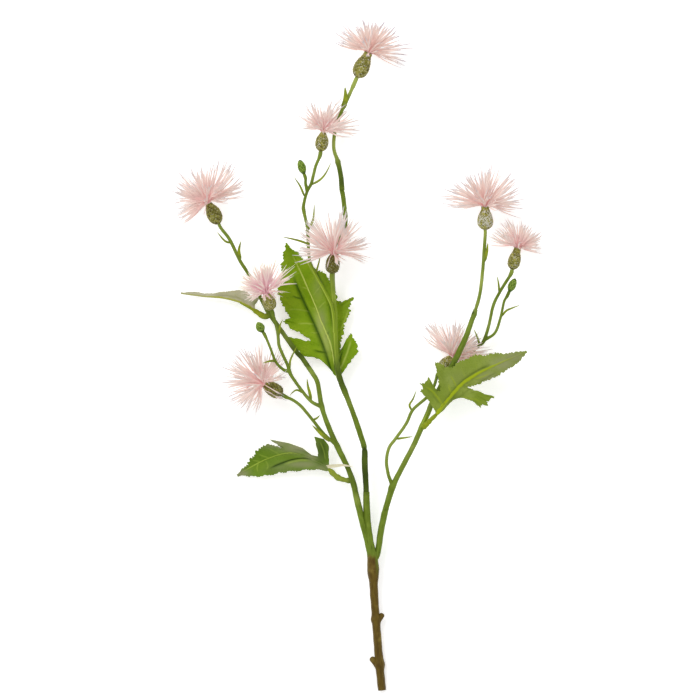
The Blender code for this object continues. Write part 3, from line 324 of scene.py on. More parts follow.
CENTRE_BRACTS = [
    ([(304.3, 196, 25), (300, 186, 26.5), (294, 177, 28)], 1.8),
    ([(311, 185, 26), (320, 180, 27.5), (326, 173, 28.5), (331, 163, 29.5)], 1.8),
    ([(307.5, 231, 24), (313, 220, 25), (314.5, 204, 27)], 1.8),
    ([(308.2, 244, 24.5), (300, 241, 26), (290, 238.5, 27), (282, 237, 28)], 1.8),
    ([(315.5, 275, 27.2), (319, 262, 28.5), (321, 253, 29.5)], 1.6),
]
TOP_BRACTS = [([(343, 109, 25.4), (345.5, 99, 29), (345, 87, 31)], 4.4)]
RIGHT_LOWER_BRACTS = [
    ([(412, 411, 20), (409.5, 405, 21), (413, 399, 22), (416.5, 390, 23)], 1.8),
    ([(396, 439, 20), (403, 438, 21), (413, 436.5, 22.5)], 1.8),
    ([(480, 345, 11.5), (477, 336, 13.5), (474, 329, 15)], 1.8),
    ([(499.3, 293, 23.5), (498.5, 284, 25.5), (497, 276, 26.5)], 1.8),
    ([(501, 317, 20.2), (506, 311, 21.5), (511, 308.5, 22.5), (520, 305, 24)], 1.8),
]
RIGHT_UPPER_BRACTS = [([(483.7, 262, 35), (486.5, 252, 37.5), (487.5, 243, 39)], 3)]

# Petioles: a route from the centre line of the stem into the blade.
PETIOLES = {
    "leaf_centre": [
        (341.5, 385, 24), (340, 382, 20.5), (338, 378, 17.5), (335.5, 368, 15.9), (333, 352, 14.7),
    ],
    "leaf_right": [
        (421.5, 427, 23.2), (424.5, 426, 26.5), (430, 420.5, 30), (436, 414.5, 33), (444, 404, 35.9),
        (458.5, 387, 37.4),
    ],
    "leaf_lower_left": [
        (353, 480, 20.4), (349, 480.5, 19.5), (345, 480, 18.5), (337, 477, 17), (329, 469.5, 15.6),
        (319, 462, 12.6),
    ],
    "leaf_upper_left": [
        (270.8, 315.2, 22), (266, 316.5, 21.6), (262, 315.5, 21), (252, 309, 20), (240, 302.5, 18.4),
    ],
}

# Leaf blades from foot to tip: a point of the midrib, then the edge on its left and on its right as the
# leaf points away. An edge point may add a height of its own. Where a lobe turns off, a pair gives a point
# on the way out and then the edge.
CENTRE_LEAF = [
    ((338, 379, 17.2), (337, 378), (339.2, 378)),
    ((336.8, 374, 16.4), (334, 374), (344, 371)),
    ((336.3, 371.5, 16.1), (331.5, 371), (350, 362)),
    ((335.9, 369.5, 15.8), (329, 368), (358, 351)),
    ((335.5, 367.5, 15.5), (327, 366), (357, 343)),
    ((335, 365.5, 15.3), (325, 364), (350.5, 333)),
    ((334.5, 363, 15.1), (322.5, 361.5), (345, 344)),
    ((334, 360.5, 14.9), (319, 359), (341.2, 349.5)),
    ((333.6, 358.5, 14.8), (310, 356.2), (340.4, 348)),
    ((333.3, 357, 14.7), (302, 355.2), (340.3, 346.5)),
    ((333, 355.5, 14.5), (295, 347), (340.3, 345)),
    ((332.7, 354, 14.4), (286, 337), (340.4, 343.5)),
    ((332, 350.5, 14.2), (312, 342), (340.8, 342)),
    ((330.6, 344.5, 13.6), (305, 336), (341.5, 340)),
    ((328.8, 339.5, 13), (297, 331), (343.5, 334)),
    ((326.6, 334.2, 12), (291, 329), (345, 323)),
    ((324.4, 329, 11), (283, 321), (351, 311)),
    ((322.7, 325, 10.2), (290, 317), (348.5, 309)),
    ((320.9, 320.8, 9.2), (284, 309), (354, 296.5)),
    ((319, 316, 8), (281, 302), (344, 301)),
    ((317, 310.5, 6.5), (276.5, 291), (338.5, 302)),
    ((314, 303, 4.2), (280, 284), (335, 290)),
    ((310.4, 294.5, 1.8), (279.5, 277), (328, 277)),
    ((306.6, 286, 0), (281.5, 271), (323, 271.5)),
    ((303.2, 278, 0), (280.5, 264), (315, 269)),
    ((299.8, 270.5, 0), (283, 259), (310, 260.5)),
    ((296.3, 263.2, 0), (282.5, 253), (303, 259)),
    ((292.6, 256, 0), (284.5, 249.5), (298.5, 252.5)),
    ((289.2, 249.5, 0), (284.8, 246), (291.4, 248.6)),
    ((286, 242.5, 0), (285.4, 243.2), (286.7, 243.4)),
]
RIGHT_LEAF = [
    ((437, 414, 33.2), (436, 413), (438.4, 414.4)),
    ((440, 409.6, 34.3), (430, 402), (445, 408)),
    ((441.8, 407.1, 34.9), ((434, 400.5), (425.5, 396)), (450, 402)),
    ((444, 404.2, 35.3), ((434.5, 398), (419.8, 391)), ((449, 401.5), (455, 398.5))),
    ((445, 403.1, 35.6), ((435, 397), (423.2, 387.2)), ((451, 400), (458, 397.3))),
    ((446, 402, 35.8), ((435.5, 396), (419.5, 383.6)), ((453, 399), (461, 396.5))),
    ((446.8, 401, 36), ((436.2, 395.3), (424.6, 382.6)), ((456, 397.5), (464.5, 396.6))),
    ((447.5, 400, 36.1), ((437, 394.8), (428, 377.5)), ((459, 396.3), (468, 398.3))),
    ((449, 398.3, 36.3), ((438.5, 394.3), (432.5, 386.5)), ((466, 394.3), (475, 402))),
    ((450.3, 396.8, 36.5), ((440.5, 394), (437.2, 391.2)), ((469, 393.5), (480.6, 407.3))),
    ((450.9, 396, 36.6), ((442, 393.5), (438.5, 391)), ((470, 393.2), (482.3, 403.4))),
    ((451.6, 395.2, 36.7), ((443.5, 393), (440, 390.8)), ((471, 392.9), (487.8, 406.2))),
    ((452.3, 394.3, 36.8), ((444.5, 391.5), (439.5, 387.5)), ((471.6, 392.5), (486.6, 401.6))),
    ((453, 393.5, 36.9), ((445.5, 390), (439, 384)), ((472, 392.2), (494.7, 396.9))),
    ((453.7, 392.7, 37), ((446, 387), (438, 378.5)), ((471.6, 391.8), (484.8, 396.4))),
    ((454.5, 391.8, 37), ((446.5, 384), (437, 373)), ((471, 391.3), (482.5, 393.2))),
    ((456.3, 389.9, 37.2), ((447, 377), (435, 361.5)), ((468, 390), (475, 391))),
    ((459, 386.6, 37.4), ((451.5, 375), (446, 367)), ((463, 387.3), (466.5, 388))),
    ((463, 383, 37.5), (452, 367.5), (472, 385)),
    ((468, 379.5, 37.5), (459, 361), (479, 384)),
    ((474, 375.6, 37.4), (465, 359.5), (484, 381)),
    ((480, 372.1, 37.1), (475, 354.5), (492, 378.5)),
    ((487, 368.6, 36.7), (484, 355.5), (500, 374.5)),
    ((495, 365, 36), (495, 352.5), (507, 369.5)),
    ((504, 361, 35), (505, 353.8), (515, 365)),
    ((514, 356.8, 33.9), (517, 351.5), (522, 358.5)),
    ((526.5, 351.5, 32.5), (525.8, 351), (526.6, 352.4)),
]
LOWER_LEFT_LEAF = [
    ((329, 470, 15.3), (328.2, 471), (329.4, 468.8)),
    ((327.2, 468.2, 15.2), (326.5, 471.5), (328.6, 456, 2)),
    ((325.9, 467, 15.1), (324.5, 471), (328.5, 445, 6)),
    ((324.8, 466.1, 15), (322.5, 470.5), (324, 439, 8)),
    ((323.6, 465.3, 14.9), (320.5, 470), (314.5, 436.5, 9)),
    ((322.2, 464.4, 14.8), (318.5, 469.5), (316.8, 446, 5)),
    ((320, 463.2, 14.7), (316, 469.5), (318.5, 456.5, 1)),
    ((315.5, 461, 14.6), (312, 470.5), (311.5, 455)),
    ((308, 457.6, 14.4), (305, 469.8), (302.5, 448)),
    ((301, 455, 14), (297, 471.8), (289, 443.2)),
    ((294.4, 453.3, 13.2), (290, 471), (270, 439.6)),
    ((291.5, 453.1, 12.8), (285, 473.3), (282, 448.2)),
    ((288, 453.2, 12.3), (279, 472.8), (266.5, 444)),
    ((281, 454.5, 11.1), (272, 475.5), (262, 446.5)),
    ((274, 456.5, 9.8), (265, 475.6), (255.5, 451)),
    ((267, 459.2, 8.3), (258.5, 477.5), (254, 455.5)),
    ((260, 462.4, 6.8), (252.5, 476.2), (248.5, 459.5)),
    ((253, 466, 5.2), (248, 477), (247, 465)),
    ((246, 470.2, 3.4), (243.5, 475.8), (242, 468.5)),
    ((237, 476, 1.2), (237.4, 476.8), (236.8, 475.2)),
]
UPPER_LEFT_LEAF = [
    ((254.5, 311, 20.2), (254.3, 310.7), (255.2, 310.6)),
    ((252, 309, 20), (251, 308), (255, 307.5)),
    ((250, 307.6, 19.7), (248.4, 306.2), (254.5, 304.5)),
    ((248.2, 306.6, 19.4), (246, 304.6), (261, 296.8, -1)),
    ((246.6, 305.7, 19.2), (244, 303), (252.5, 298.5)),
    ((242, 303.4, 18.6), (239.5, 299.6), (247, 291.5)),
    ((236, 301.2, 17.6), (233, 297.8), (238.5, 290)),
    ((229, 299.4, 16.4), (226, 296.5), (230.5, 291.2)),
    ((221, 297.9, 14.8), (218.5, 295.8), (221, 292)),
    ((213, 297.2, 13), (211, 295.6), (213, 293.8)),
    ((205, 296.6, 11.2), (203.5, 295.3), (204, 293.6)),
    ((195, 295.3, 8.8), (194, 294.3), (194.4, 292)),
    ((180.5, 293.4, 6), (180.9, 293), (180.9, 292.4)),
]
LEAVES = {
    "leaf_centre": Leaf(CENTRE_LEAF, 0, 2.5, 0, 0.9),
    "leaf_right": Leaf(RIGHT_LEAF, -1.2, -2, 1, 1),
    "leaf_lower_left": Leaf(LOWER_LEFT_LEAF, -1, 1.5, 0.7, 0.7),
    "leaf_upper_left": Leaf(UPPER_LEFT_LEAF, -9, -3, 0.5, 0.5),
}
# A slender lobe of the lower left leaf that passes over the stem.
CROSSING_LOBE = [(325, 467, 15.4), (334, 466, 19.5), (343, 465.2, 24.5), (353, 466.5, 27)]
CROSSING_LOBE_WIDTH = 2.8

HEADS = {
    "top": Head((357, 77.8, 29), (368.5, 53, 31), 8, 4.4, 36, 1),
    "centre_left": Head((320.6, 151.5, 29), (323.5, 132, 32), 6.5, 3.4, 29, 1, 6, 106),
    "upper_left": Head((219, 224, 28.5), (208.5, 203, 30), 7.4, 4.4, 41, 1, 9, 118),
    "centre": Head((332, 273, 30), (333.5, 254, 37), 7, 4.2, 39, 1, 8, 116),
    "middle_left": Head((271.5, 309.5, 32), (266.5, 293, 39), 6.6, 4.2, 29, 1, 8, 104),
    "lower_left": Head((282, 394.5, 26), (264, 384, 30), 7.2, 4.4, 36, 1, 10, 118),
    "right": Head((485, 230, 34), (485, 207, 34), 8, 4.2, 42, 1, 7.5, 111),
    "outer_right": Head((512, 269.5, 25.5), (517.5, 248, 26.5), 6.3, 3.8, 29, 1, 6, 106),
    "lower_right": Head((440.5, 371.5, 14), (452, 357, 13), 6.8, 4.2, 38, 0.7, 6, 104),
}
BUDS = {
    "upper": Bud((304, 174, 27), (299.5, 160, 28.5), 4.2),
    "left": Bud((263, 332, 29), (257.5, 322.5, 31), 4.5),
    "right": Bud((509.3, 291.5, 23), (515.2, 278.5, 25), 4.1),
}

# The limbs: the course, the head that it ends in, and the places where one length goes into the next.
LIMBS = {
    "centre": (CENTRE_LIMB, "centre", [(366.5, 495, 19), (364.6, 449, 22), (333, 292, 24.6)]),
    "left": (LEFT_LIMB, "upper_left", [(355, 490.5, 20), (308.2, 366.7, 25)]),
    "right": (RIGHT_LIMB, "right", [(385.4, 510.5, 17.5), (474.4, 312.5, 37)]),
    "top": (TOP_LIMB, "top", [(342, 191, 20)]),
}
# The trunk and the feet of its two arms: the limb, whose first length each one is, the radii and the
# swellings, which are a place, a height and a width along the stem.
TRUNK_PARTS = [
    ("centre", TRUNK_RADII, TRUNK_KNOTS), ("left", LEFT_ARM_RADII, ()), ("right", RIGHT_ARM_RADII, ()),
]
# The branches: the limb, which of its lengths this is, the radii, the swellings, the side shoots with what
# each one carries, its seed and its own swellings, the bracts, the radii at the end and how dark it is.
Branch = namedtuple("Branch", "limb part radii knots shoots bracts end_radii darkness",
                    defaults=((), (), (), (), 0))
BRANCHES = {
    "branch_centre_lower": Branch("centre", 1, CENTRE_LOWER_RADII, darkness=0.55),
    "branch_centre_middle": Branch(
        "centre", 2, CENTRE_MIDDLE_RADII, [((334.5, 315, 24), 0.3, 8)],
        [(SHOOT_TO_CENTRE_LEFT_HEAD, HEADS["centre_left"], 22, ((304, 210, 24.5), 0.35, 4)),
         (STALK_TO_UPPER_BUD, BUDS["upper"], 23)], CENTRE_BRACTS),
    "stalk_centre": Branch("centre", 3, STALK_CENTRE_RADII),
    "branch_top": Branch("top", 1, TOP_RADII, [((338.6, 161, 23), 0.5, 3)], (), TOP_BRACTS, TOP_END_RADII),
    "branch_left_lower": Branch(
        "left", 1, LEFT_LOWER_RADII, [((321.8, 407, 24), 0.4, 4), ((337.5, 447, 22.2), 0.3, 4)],
        [(SHOOT_TO_MIDDLE_LEFT_HEAD, HEADS["middle_left"], 24, ((289, 371, 28), 0.4, 4)),
         (SHOOT_TO_LOWER_LEFT_HEAD, HEADS["lower_left"], 25),
         (STALK_TO_LEFT_BUD, BUDS["left"], 26)], LEFT_LOWER_BRACTS),
    "branch_left_upper": Branch(
        "left", 2, LEFT_UPPER_RADII, [((268, 311, 22), 0.35, 4)], (), LEFT_UPPER_BRACTS),
    "branch_right_lower": Branch(
        "right", 1, RIGHT_LOWER_RADII, [((392.8, 486, 20), 0.4, 4), ((422, 426, 23.2), 0.3, 4)],
        [(SHOOT_TO_LOWER_RIGHT_HEAD, HEADS["lower_right"], 27),
         (SHOOT_TO_OUTER_RIGHT_HEAD, HEADS["outer_right"], 28, ((484.5, 340, 15.3), 0.35, 4)),
         (STALK_TO_RIGHT_BUD, BUDS["right"], 29)], RIGHT_LOWER_BRACTS),
    "branch_right_upper": Branch("right", 2, RIGHT_UPPER_RADII, (), (), RIGHT_UPPER_BRACTS),
}
# The foot of the top head's stem, inside the centre branch.
TOP_FOOT_RADII = [(0, 2.35)]
TOP_FOOT_KNOTS = [((332.8, 288, 16), 0.2, 6)]
TOP_FOOT_SEED = 21
FIRST_BRANCH_SEED = 11
FIRST_STUB_SEED = 4
FIRST_PETIOLE_SEED = 40
FIRST_HEAD_SEED = 300

# Places where the stems are darker or paler than their usual green: x, y, radius and amount on the sheet.
# The darker ones are partly painted shade and partly the stems' own darker lengths and joints.
STEM_TONES = [
    (341, 172, 7, 0.6), (342, 183, 6, 0.7), (340, 372, 12, 0.55), (344, 385, 8, 0.45), (364, 450, 12, 0.25),
    (366, 474, 8, 0.3), (366, 486, 8, 0.2), (364.4, 448.4, 1.3, 1), (366.6, 494, 1.4, 0.4),
    (356.2, 491, 1.4, 0.4), (385.3, 510, 1.4, 0.5), (472.6, 312.8, 1.5, 1), (309, 365.5, 1.4, 0.4),
    (342, 190.5, 1.4, 0.6), (284, 333, 8, 0.25), (292, 345, 8, 0.45), (300, 355, 8, 0.8),
    (308, 364, 4, 0.4), (353, 481, 9, 0.35),
    (347, 468, 6, 0.3), (334, 436, 9, 0.2), (270, 320, 6, 0.2), (372, 550, 6, 0.25),
    (344, 118, 6, 0.25), (319, 404, 4, 0.3), (484, 341, 6, 0.3), (505, 292, 6, 0.2), (345, 228, 8, 0.25),
    (452, 358, 8, 0.1),
]
STEM_PALES = [
    (357, 80, 8, 0.7), (352, 91, 8, 0.6), (345, 105, 7, 0.3), (335, 143, 8, 0.65), (336, 156, 7, 0.35),
    (320, 154, 8, 0.2), (314, 172, 9, 0.2), (306, 222, 14, 0.2), (309, 245, 10, 0.15), (334, 280, 10, 0.3),
    (337, 297, 5, 0.8), (336, 328, 16, 0.25), (350, 402, 6, 0.2), (235, 252, 18, 0.12), (220, 226, 6, 0.25),
    (279, 338, 14, 0.3), (306, 392, 14, 0.2), (311, 372, 5, 0.3), (485, 233, 9, 0.6), (484, 256, 8, 0.25),
    (480, 281, 10, 0.65), (475, 305, 8, 0.35), (468, 325, 8, 0.1), (405, 455, 25, 0.12),
    (513, 268, 8, 0.45), (491, 325, 8, 0.3), (498, 306, 6, 0.2), (420, 404, 12, 0.35),
    (404, 426, 12, 0.35), (391, 446, 12, 0.4), (388, 468, 9, 0.2), (357, 499, 6, 0.35),
    (308, 410, 14, 0.15), (412, 447, 4, 0.3), (340, 479, 4, 0.5), (333, 473, 5, 0.5),
    (346, 480.5, 3, 0.5), (261, 315, 5.5, 0.5), (255, 310.5, 5, 0.5),
]

# Places where the stems are as bright a green as the leaf below them.
STEM_YELLOWS = [
    (262, 315, 7, 0.9), (254, 310, 6, 0.9), (243, 304, 8, 0.8), (424, 426, 4, 0.8), (429, 421, 5, 0.8),
    (436, 414, 6, 0.8), (444, 404, 8, 0.7), (338, 477, 5, 0.5), (331, 471, 5, 0.6), (345, 480, 4, 0.5),
]
# Places where the stems are a fresh green like the leaf below them; there a pale line along one side of the
# stem is a painted highlight.
STEM_FRESH = [
    (314, 272, 9, 0.8), (321, 286, 9, 0.9), (328, 300, 9, 0.9), (334, 316, 10, 0.9), (337, 334, 11, 0.8),
    (339, 352, 9, 0.5), (425, 424, 6, 0.9), (431, 419, 6, 0.9),
]

# Lines of a leaf on the sheet: the points, the line's width, how far it rises, its tone, where above 0 is a
# pale vein, on some ridges partly a painted highlight, and below 0 a crease darkened with painted shade,
# the length over which it fades at its ends, and its width on its left as it is drawn, where that differs.
LEAF_LINES = {
    "leaf_centre": [
        ([(337, 384), (333, 374), (329.5, 364), (326, 352), (321, 339), (315, 325), (309, 312),
          (302.5, 298), (296.5, 284), (292.5, 272)], 1.3, -1.9, -0.95, 14, 2.7),
        ([(306, 254), (312, 264), (318.5, 276), (324.5, 289), (329, 301), (331.5, 316), (332, 330)],
         2, -1.3, -0.7, 12, 1.4),
        ([(303, 254), (309.5, 265), (316, 277), (321.5, 289)], 0.7, 0.8, 0.75, 10, 0.9),
        ([(312, 304), (318, 318), (323, 332), (328, 348), (331.5, 362)], 3, 0.4, 0.3, 14),
        ([(305, 299), (298, 298), (291, 295.5)], 0.9, -0.8, -0.85, 5, 1.4),
        ([(330, 352.5), (322, 352), (312, 350)], 1, -0.9, -0.9, 6, 1.6),
        ([(314, 324.5), (306, 323.5), (297, 324)], 0.6, 0.3, 0.3, 4),
        ([(316, 308), (312, 309)], 0.5, 0.3, 0.5, 2),
        ([(308, 289), (301, 287)], 0.5, 0.3, 0.3, 3),
        ([(318, 309), (326, 301)], 0.5, 0.3, 0.25, 3),
        ([(313, 296), (322, 284)], 0.5, 0.3, 0.2, 4),
        ([(319.5, 333), (309, 333)], 0.6, 0.3, 0.15, 4),
        ([(311, 312), (297, 309.5), (286, 310)], 0.6, 0.3, 0.15, 4),
        ([(300, 273), (288, 276), (281, 282)], 0.6, 0.3, 0.15, 4),
        ([(339, 372), (344, 361), (347.5, 352), (351, 340)], 0.8, 0.5, 0.4, 4),
        ([(338.5, 367), (340.5, 357), (343.5, 348)], 1.6, -0.9, -0.85, 6, 1.2),
        ([(340.5, 331), (345, 320), (349, 308)], 0.6, 0.3, 0.3, 4),
        ([(325.5, 338), (329.5, 331)], 0.9, -0.4, -0.55, 3),
    ],
    "leaf_right": [
        ([(438, 411), (448, 397.5), (458, 385.5), (468, 377), (480, 369.5), (492, 364.5)],
         1.1, -0.9, -0.6, 9, 1.6),
        ([(440, 414.5), (450, 404), (462, 394), (474, 386), (486, 378), (498, 371)],
         1.6, -0.5, -0.35, 8, 0.9),
        ([(457, 388), (453, 380), (450, 375)], 0.6, 0.4, 0.4, 3),
        ([(452, 394), (449, 388), (449, 383)], 0.5, 0.3, 0.45, 3),
        ([(467, 379.5), (463, 372), (461, 366)], 0.5, 0.3, 0.15, 3),
        ([(477, 373), (476, 366), (475, 360)], 0.5, 0.3, 0.12, 3),
        ([(473, 379), (480, 377.5), (490, 373)], 0.6, 0.3, 0.5, 4),
        ([(444, 407), (438, 398), (431, 390), (424, 386)], 0.7, 0.4, 0.45, 6),
        ([(441, 405), (435, 398), (430, 393)], 1.3, -0.5, -0.4, 5),
        ([(450, 401.5), (460, 398), (472, 398.5), (484, 403)], 0.7, 0.4, 0.3, 6),
    ],
    "leaf_lower_left": [
        ([(313, 459.5), (306, 458.2), (299, 458.4), (291, 459.8), (283, 462.4), (275, 465.6),
          (268, 469.5)], 0.6, -1.3, -1, 8, 1.9),
        ([(311, 460.6), (302, 460.2), (292, 462), (283, 465)], 0.9, 0.6, 0.35, 6),
        ([(320, 460), (311, 455), (302, 451), (292, 449)], 1.2, -0.4, -0.25, 6),
        ([(281, 455.5), (275, 452), (268, 448)], 0.5, 0.3, 0.2, 3),
        ([(271, 458.6), (264, 456.5), (258, 454)], 0.5, 0.3, 0.3, 3),
        ([(262, 462), (256, 461), (251, 459.5)], 0.5, 0.3, 0.3, 3),
        ([(259, 462.5), (257, 468), (258, 473)], 0.5, 0.3, 0.35, 3),
        ([(265, 460), (268, 466), (266, 471)], 0.5, 0.3, 0.25, 3),
        ([(323.5, 464), (323, 452), (321.5, 441)], 1.6, 0.5, -0.4, 6),
        ([(325.5, 460), (323.5, 450), (320, 441)], 0.4, 0.2, 0.3, 3),
    ],
    "leaf_upper_left": [
        ([(250, 303.5), (240, 298.5), (228, 296), (212, 295.2)], 1, -0.5, -0.3, 6, 1.4),
        ([(246, 305.5), (240, 299), (233, 294)], 0.5, 0.3, 0.25, 3),
        ([(236, 301), (230, 297), (224, 294)], 0.5, 0.3, 0.25, 3),
    ],
}
# The midrib of each leaf along its length from 0 to 1: its half width, how far it rises and how pale it is.
LEAF_RIBS = {
    "leaf_centre": ([(0, 0.8), (0.15, 0.42), (0.85, 0.3)], [(0, 1), (1, 0.8)],
                    [(0, 0.7), (0.1, 0.8), (0.25, 0.75), (0.35, 1), (0.72, 0.95), (0.86, 0.3),
                     (0.92, 0)]),
    "leaf_right": ([(0, 1.6), (0.4, 1.2), (0.7, 0.6), (1, 0.4)], [(0, 1.9), (0.6, 1), (1, 0.4)],
                   [(0, 0.95), (0.5, 0.95), (0.68, 0.75), (0.8, 0.4), (0.9, 0.1), (1, 0)]),
    "leaf_lower_left": ([(0, 0.5), (0.3, 0.3), (1, 0.25)], [(0, 1.2), (0.5, 1), (1, 0.5)],
                        [(0, 0), (0.3, 0.05), (0.42, 0.45), (0.8, 0.6), (0.88, 0.3), (0.95, 0)]),
    "leaf_upper_left": ([(0, 1.3), (0.4, 0.9), (1, 0.4)], [(0, 0.9), (1, 0.4)],
                        [(0, 0.95), (0.5, 0.85), (1, 0.4)]),
}

# Soft patches of a leaf: x, y, width and depth on the sheet, how grey they are, where below 0 is a fresher
# green, and how dark. The grey is partly the leaf's own grey and partly a painted sheen, and the dark is
# painted shade.
LEAF_PATCHES = {
    "leaf_centre": [
        (327, 343, 5, 13, 0.35, 0), (337, 352, 4, 14, 0.1, 0.3), (334, 372, 5, 8, 0, 0.5),
        (345, 352, 6, 12, 0, 0.35),
        (321, 322, 5, 13, 0.6, 0), (326, 338, 4, 10, 0.5, 0),
        (289, 258, 9, 14, 0, 0.2), (300, 290, 5, 14, 0, 0.2), (318, 288, 5, 14, 0.25, 0),
        (348, 312, 8, 14, -0.4, 0),
    ],
    "leaf_right": [
        (503, 364, 14, 8, 0.75, 0), (488, 377, 12, 7, 0.6, 0), (432, 391, 9, 10, -0.5, 0.2),
        (446, 374, 8, 12, -0.15, 0.1), (456, 378, 14, 10, 0.2, 0), (454, 398, 8, 5, 0, 0.45),
        (485, 399, 14, 10, -0.45, 0), (514, 357, 12, 6, 0.8, 0),
    ],
    "leaf_lower_left": [
        (300, 447, 20, 7, 0.95, 0), (278, 443, 18, 5, 0.85, 0), (313, 456, 10, 7, 0.85, 0),
        (303, 464.5, 20, 4, 0.75, 0), (281, 468, 14, 4, 0.35, 0), (322, 450, 7, 14, -0.5, 0.75),
        (322, 468, 9, 5, 0.7, 0), (286, 471, 20, 3, 0.3, 0.15), (241, 474, 8, 5, 0.9, 0),
        (262, 466, 12, 5, -0.4, 0), (288, 456, 10, 3, -0.5, 0.2),
    ],
    "leaf_upper_left": [(256, 303, 5, 4, -0.5, 0.1)],
}
# How each leaf lies: the looks of its upper and lower face, the depth of its teeth on its left and on its
# right, their spacing, and how much of its left and right edges, from the foot, is without teeth.
LEAF_SIDES = {
    "leaf_centre": ("bright", "grey", 2.3, 2.3, 4.2, 0.12, 0.03),
    "leaf_right": ("olive", "bright", 1.9, 1.9, 3.7, 0.05, 0.14),
    "leaf_lower_left": ("dull", "grey", 1.1, 2.8, 3.5, 0.12, 0.6),
    "leaf_upper_left": ("grey", "bright", 0.5, 0.6, 3.2, 0.3, 0.4),
}
# The looks of a leaf's face: its usual green, a fresher and a deeper one, its veins, and the painted shade
# of its creases and dark patches.
LEAF_LOOKS = {
    "bright": ("#759608", "#84A016", "#638405", "#C9D66C", "#2F5207"),
    "olive": ("#7A8C2C", "#8E9E44", "#687A21", "#9AAA12", "#4C5F14"),
    "dull": ("#5D7A18", "#688520", "#4A6812", "#ACC24C", "#2A4410"),
    "grey": ("#ABA888", "#B6B39A", "#979771", "#9C9E36", "#6E7048"),
    "cream": ("#D4CDAC", "#DED8BA", "#C2BB92", "#D8D2B4", "#9A9468"),
}

# Florets that hang back over their cup, or lie over the stem behind their head: the point that the tip of
# each one reaches.
HANGING_FLORETS = {
    "centre": [
        (326.2, 270.7, 43), (336.9, 265.8, 46), (339, 262, 44), (343.5, 217, 46), (345.5, 222, 45),
        (341, 225, 47), (347, 228, 44),
    ],
    "middle_left": [
        (249, 302, 38), (252, 299.5, 41), (264.8, 302, 47), (263, 299, 48), (277, 299.5, 43),
        (275, 296.5, 44),
        (247, 298, 36), (250.5, 296, 38),
    ],
    "lower_left": [(285, 396.5, 37), (287, 401, 27), (287, 378, 30)],
    "top": [(367.3, 57.5, 38)],
}
# How far each head's florets reach on the sheet from the heart of the fan, in twelve directions that
# start at the right and go on towards the top.
HEAD_FANS = {
    "top": (35, 28, 23, 28, 34, 38, 37, 20, 15, 15, 18, 34),
    "centre_left": (28, 27, 24, 20, 23, 25, 20, 15, 14, 14, 18, 27),
    "upper_left": (33, 38, 40, 29, 27, 35, 41, 39, 27, 15, 12, 18),
    "centre": (32, 33, 31, 29, 33, 35, 37, 33, 22, 18, 26, 33),
    "middle_left": (26, 31, 27, 21, 23, 24, 27, 27, 22, 16, 16, 20),
    "lower_left": (32, 35, 34, 33, 32, 31, 30, 34, 37, 33, 26, 28),
    "right": (38, 38, 31, 29, 29, 37, 39, 39, 25, 14, 15, 31),
    "outer_right": (26, 24, 20, 21, 25, 28, 25, 22, 20, 15, 12, 22),
    "lower_right": (34, 27, 27, 31, 34, 37, 34, 20, 18, 18, 30, 35),
}
# Places that a head's florets pass under, for a stalk lies over them: x, y, radius and height.
FLORET_CEILINGS = {"lower_left": [(272, 355, 15, 24)]}
# How each head differs from a plain pale pink one: 0 is salmon and 1 is rose, how frosted its cup is, and
# how much paler or darker the cup is.
HEAD_TONES = {
    "top": (0, 0.3, 0), "centre_left": (0.35, 0.45, 0.15), "upper_left": (0.2, 0.1, -0.15),
    "centre": (0.3, 0.05, -0.6),
    "middle_left": (1, 0.5, 0.4), "lower_left": (0.2, 0.15, -0.25), "right": (0.15, 1.1, 0.3),
    "outer_right": (0.35, 0.35, 0.1), "lower_right": (0.25, 0.6, 0.1),
}


def linear(code):
    """An sRGB hex colour as linear red, green, blue and alpha."""
    shares = [int(code[i:i + 2], 16) / 255 for i in (1, 3, 5)]
    return (*(s / 12.92 if s <= 0.04045 else ((s + 0.055) / 1.055) ** 2.4 for s in shares), 1.0)


# The sizes that a user would change: property, name, what it is, its usual value and a count's limits.
COUNTS = [
    ("stem_sides", "Stem sides", "Faces round a stem", 20, 8, 48),
    ("leaf_columns", "Leaf columns", "Faces across each half of a leaf", 26, 4, 40),
    ("floret_count", "Florets", "Florets in a large head", 54, 20, 200),
    ("scale_count", "Scales", "Scales in each row round a cup", 12, 6, 20),
]
LENGTHS = [
    ("stem_spacing", "Stem spacing", "Distance between the rings of a stem", 0.0013),
    ("leaf_thickness", "Leaf thickness", "Thickness of the leaf blades", 0.0007),
    ("leaf_spacing", "Leaf spacing", "Distance along a leaf's edge between rows of faces", 0.0006),
]


class KnapweedSizes(bpy.types.PropertyGroup):
    """Sizes that a user would change."""

    __annotations__ = {
        "rib_depth": bpy.props.FloatProperty(
            name="Rib depth", description="Depth of the ribs along a stem, as a share of its radius",
            default=0.045, subtype="FACTOR"),
        **{
            name: bpy.props.IntProperty(
                name=label, description=purpose, default=usual, min=low, max=high)
            for name, label, purpose, usual, low, high in COUNTS
        },
        **{
            name: bpy.props.FloatProperty(name=label, description=purpose, default=usual, unit="LENGTH")
            for name, label, purpose, usual in LENGTHS
        },
    }


# The colours that a user would change: property, name, what it is for and sRGB code.
COLOURS = [
    ("stem", "Stem", "Green of the stems", "#64771F"),
    ("bark", "Bark", "Brown of the lower stem", "#67541D"),
    ("leaf", "Leaf", "Green of the leaves' upper side", "#759608"),
    ("leaf_back", "Leaf back", "Grey green of the leaves' under side", "#A9A684"),
    ("floret", "Floret", "Pale pink of the florets", "#EBCDC3"),
    ("throat", "Throat", "Coral at the heart of a head", "#E99F9B"),
    ("cup", "Cup", "Olive of the cups", "#817F34"),
    ("bud", "Bud", "Green of the closed buds", "#57721A"),
]


class KnapweedColours(bpy.types.PropertyGroup):
    """Colours that a user would change."""

    __annotations__ = {
        name: bpy.props.FloatVectorProperty(
            name=label, description=purpose, subtype="COLOR", size=4, default=linear(code))
        for name, label, purpose, code in COLOURS
    }


